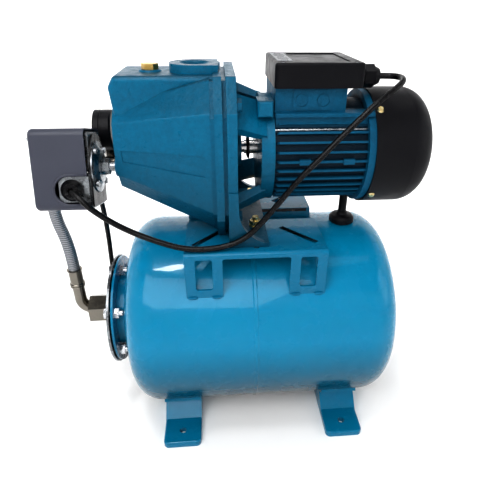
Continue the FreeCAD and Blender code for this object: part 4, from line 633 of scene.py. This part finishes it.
def makeLabel():                         # blank printed bars on the data plate
    for row in range(label["rows"]):
        shape = bmesh.new()
        wide = label["size"][0] * (label["long"] if row % 3 else label["short"])
        deep = label["size"][1] / label["rows"] * label["fill"]
        middle = label["middle"][1] + label["size"][1] * ((row + 0.5) / label["rows"] - 0.5)
        place = Vector((label["middle"][0], middle, label["top"] - label["sunk"])) / 1000
        bmesh.ops.create_cube(shape, size=1, matrix=Matrix.Translation(place) @ Matrix.Diagonal(
            (wide / 1000, deep / 1000, label["thick"] / 1000, 1)))
        makePiece(f"labelBar{row}", shape, finishes["boxBlack"])


dial = {"centre": (38, 401), "face": -194.4, "outer": 20.5, "ticks": 26, "sweep": 250,
        "long": 5, "short": 2.6, "wide": 0.7, "thick": 0.4}


def makeDial():                          # scale marks round the gauge's face
    for tick in range(dial["ticks"]):
        turn = math.radians(90 + dial["sweep"] * (tick / (dial["ticks"] - 1) - 0.5))
        long = dial["long"] if tick % 5 == 0 else dial["short"]
        middle = dial["outer"] - long / 2
        place = Vector((dial["face"], dial["centre"][0] + middle * math.cos(turn),
                        dial["centre"][1] + middle * math.sin(turn))) / 1000
        shape = bmesh.new()
        bmesh.ops.create_cube(shape, size=1, matrix=(
            Matrix.Translation(place) @ Matrix.Rotation(turn, 4, "X")
            @ Matrix.Diagonal((dial["thick"] / 1000, long / 1000, dial["wide"] / 1000, 1))))
        makePiece(f"dialMark{tick}", shape, finishes["pale"])


switchBox = {"centre": (-35, 377), "roll": -16}
slotLip = {"middle": (-220, -24), "radius": 16.8, "thick": 1.5, "side": 33, "end": -201.5,
           "steps": 20, "around": 12, "proud": 0.6}


def makeSlotLips():                      # rolled edge round the two cable openings of the cover
    roll = Matrix.Rotation(math.radians(switchBox["roll"]), 2)
    for side in (-1, 1):
        outline = [(slotLip["end"], slotLip["middle"][1] + slotLip["radius"])]
        for step in range(slotLip["steps"] + 1):
            turn = math.pi * (0.5 + step / slotLip["steps"])
            outline.append((slotLip["middle"][0] + slotLip["radius"] * math.cos(turn),
                            slotLip["middle"][1] + slotLip["radius"] * math.sin(turn)))
        outline.append((slotLip["end"], slotLip["middle"][1] - slotLip["radius"]))
        shape = bmesh.new()
        rings = []
        for index, spot in enumerate(outline):
            before = Vector(outline[max(index - 1, 0)])
            after = Vector(outline[min(index + 1, len(outline) - 1)])
            ahead = (after - before).normalized()
            ring = []
            for part in range(slotLip["around"]):
                turn = 2 * math.pi * part / slotLip["around"]
                out = slotLip["thick"] * math.cos(turn)
                place = Vector(spot) + out * Vector((-ahead.y, ahead.x))
                across = side * (
                    slotLip["side"] + slotLip["proud"] * slotLip["thick"] * math.sin(turn))
                across, up = roll @ Vector((across, place.y))
                ring.append(shape.verts.new(Vector((
                    place.x, switchBox["centre"][0] + across, switchBox["centre"][1] + up)) / 1000))
            rings.append(ring)
        skinOver(shape, rings)
        makePiece("slotLipNear" if side < 0 else "slotLipFar", shape, finishes["switchGrey"])


gasket = {"left": -197, "thick": 2, "half": 27.5, "low": -44, "rise": 11, "round": 28, "steps": 24}


def makeGasket():                        # black backing with an arched head behind the steel plate
    outline = [(-gasket["half"], gasket["low"]), (gasket["half"], gasket["low"])]
    for step in range(gasket["steps"] + 1):
        turn = math.pi * step / gasket["steps"]
        outline.append((gasket["half"] * math.cos(turn),
                        gasket["rise"] + gasket["round"] * math.sin(turn)))
    roll = Matrix.Rotation(math.radians(switchBox["roll"]), 2)
    shape = bmesh.new()
    rings = []
    for depth in (0, gasket["thick"]):
        ring = []
        for across, up in outline:
            across, up = roll @ Vector((across, up))
            ring.append(shape.verts.new(Vector((
                gasket["left"] + depth, switchBox["centre"][0] + across,
                switchBox["centre"][1] + up)) / 1000))
        rings.append(ring)
    skinOver(shape, rings)
    for face in shape.faces:
        face.smooth = False
    makePiece("switchGasket", shape, finishes["rubber"])


makeWelds()
makeLabel()
makeDial()
makeGasket()
makeSlotLips()
print("small pieces made")


# floor, rising all round into a pale backdrop

floor = {"flat": 2.6, "bend": 1.4, "high": 3.6, "steps": 20, "around": 64,
         "colour": (0.97, 0.97, 0.97), "roughness": 0.7}


def makeFloor():
    profile = []
    for step in range(floor["steps"] + 1):
        turn = math.pi / 2 * step / floor["steps"]
        profile.append((floor["flat"] + floor["bend"] * math.sin(turn),
                        floor["bend"] * (1 - math.cos(turn))))
    profile.append((floor["flat"] + floor["bend"], floor["high"]))
    shape = bmesh.new()
    rings = []
    for out, up in profile:
        rings.append([shape.verts.new((out * math.cos(2 * math.pi * part / floor["around"]),
                                       out * math.sin(2 * math.pi * part / floor["around"]), up))
                      for part in range(floor["around"])])
    shape.faces.new(rings[0])
    for near, far in zip(rings, rings[1:]):
        for part in range(floor["around"]):
            after = (part + 1) % floor["around"]
            shape.faces.new((near[part], near[after], far[after], far[part])).smooth = True
    mesh = bpy.data.meshes.new("studioFloor")
    shape.to_mesh(mesh)
    shape.free()
    ground = bpy.data.objects.new("studioFloor", mesh)
    ground.location.z = -0.0002
    bpy.context.collection.objects.link(ground)
    mesh.materials.append(Finish("studioFloor", floor["colour"], floor["roughness"]).material)


makeFloor()
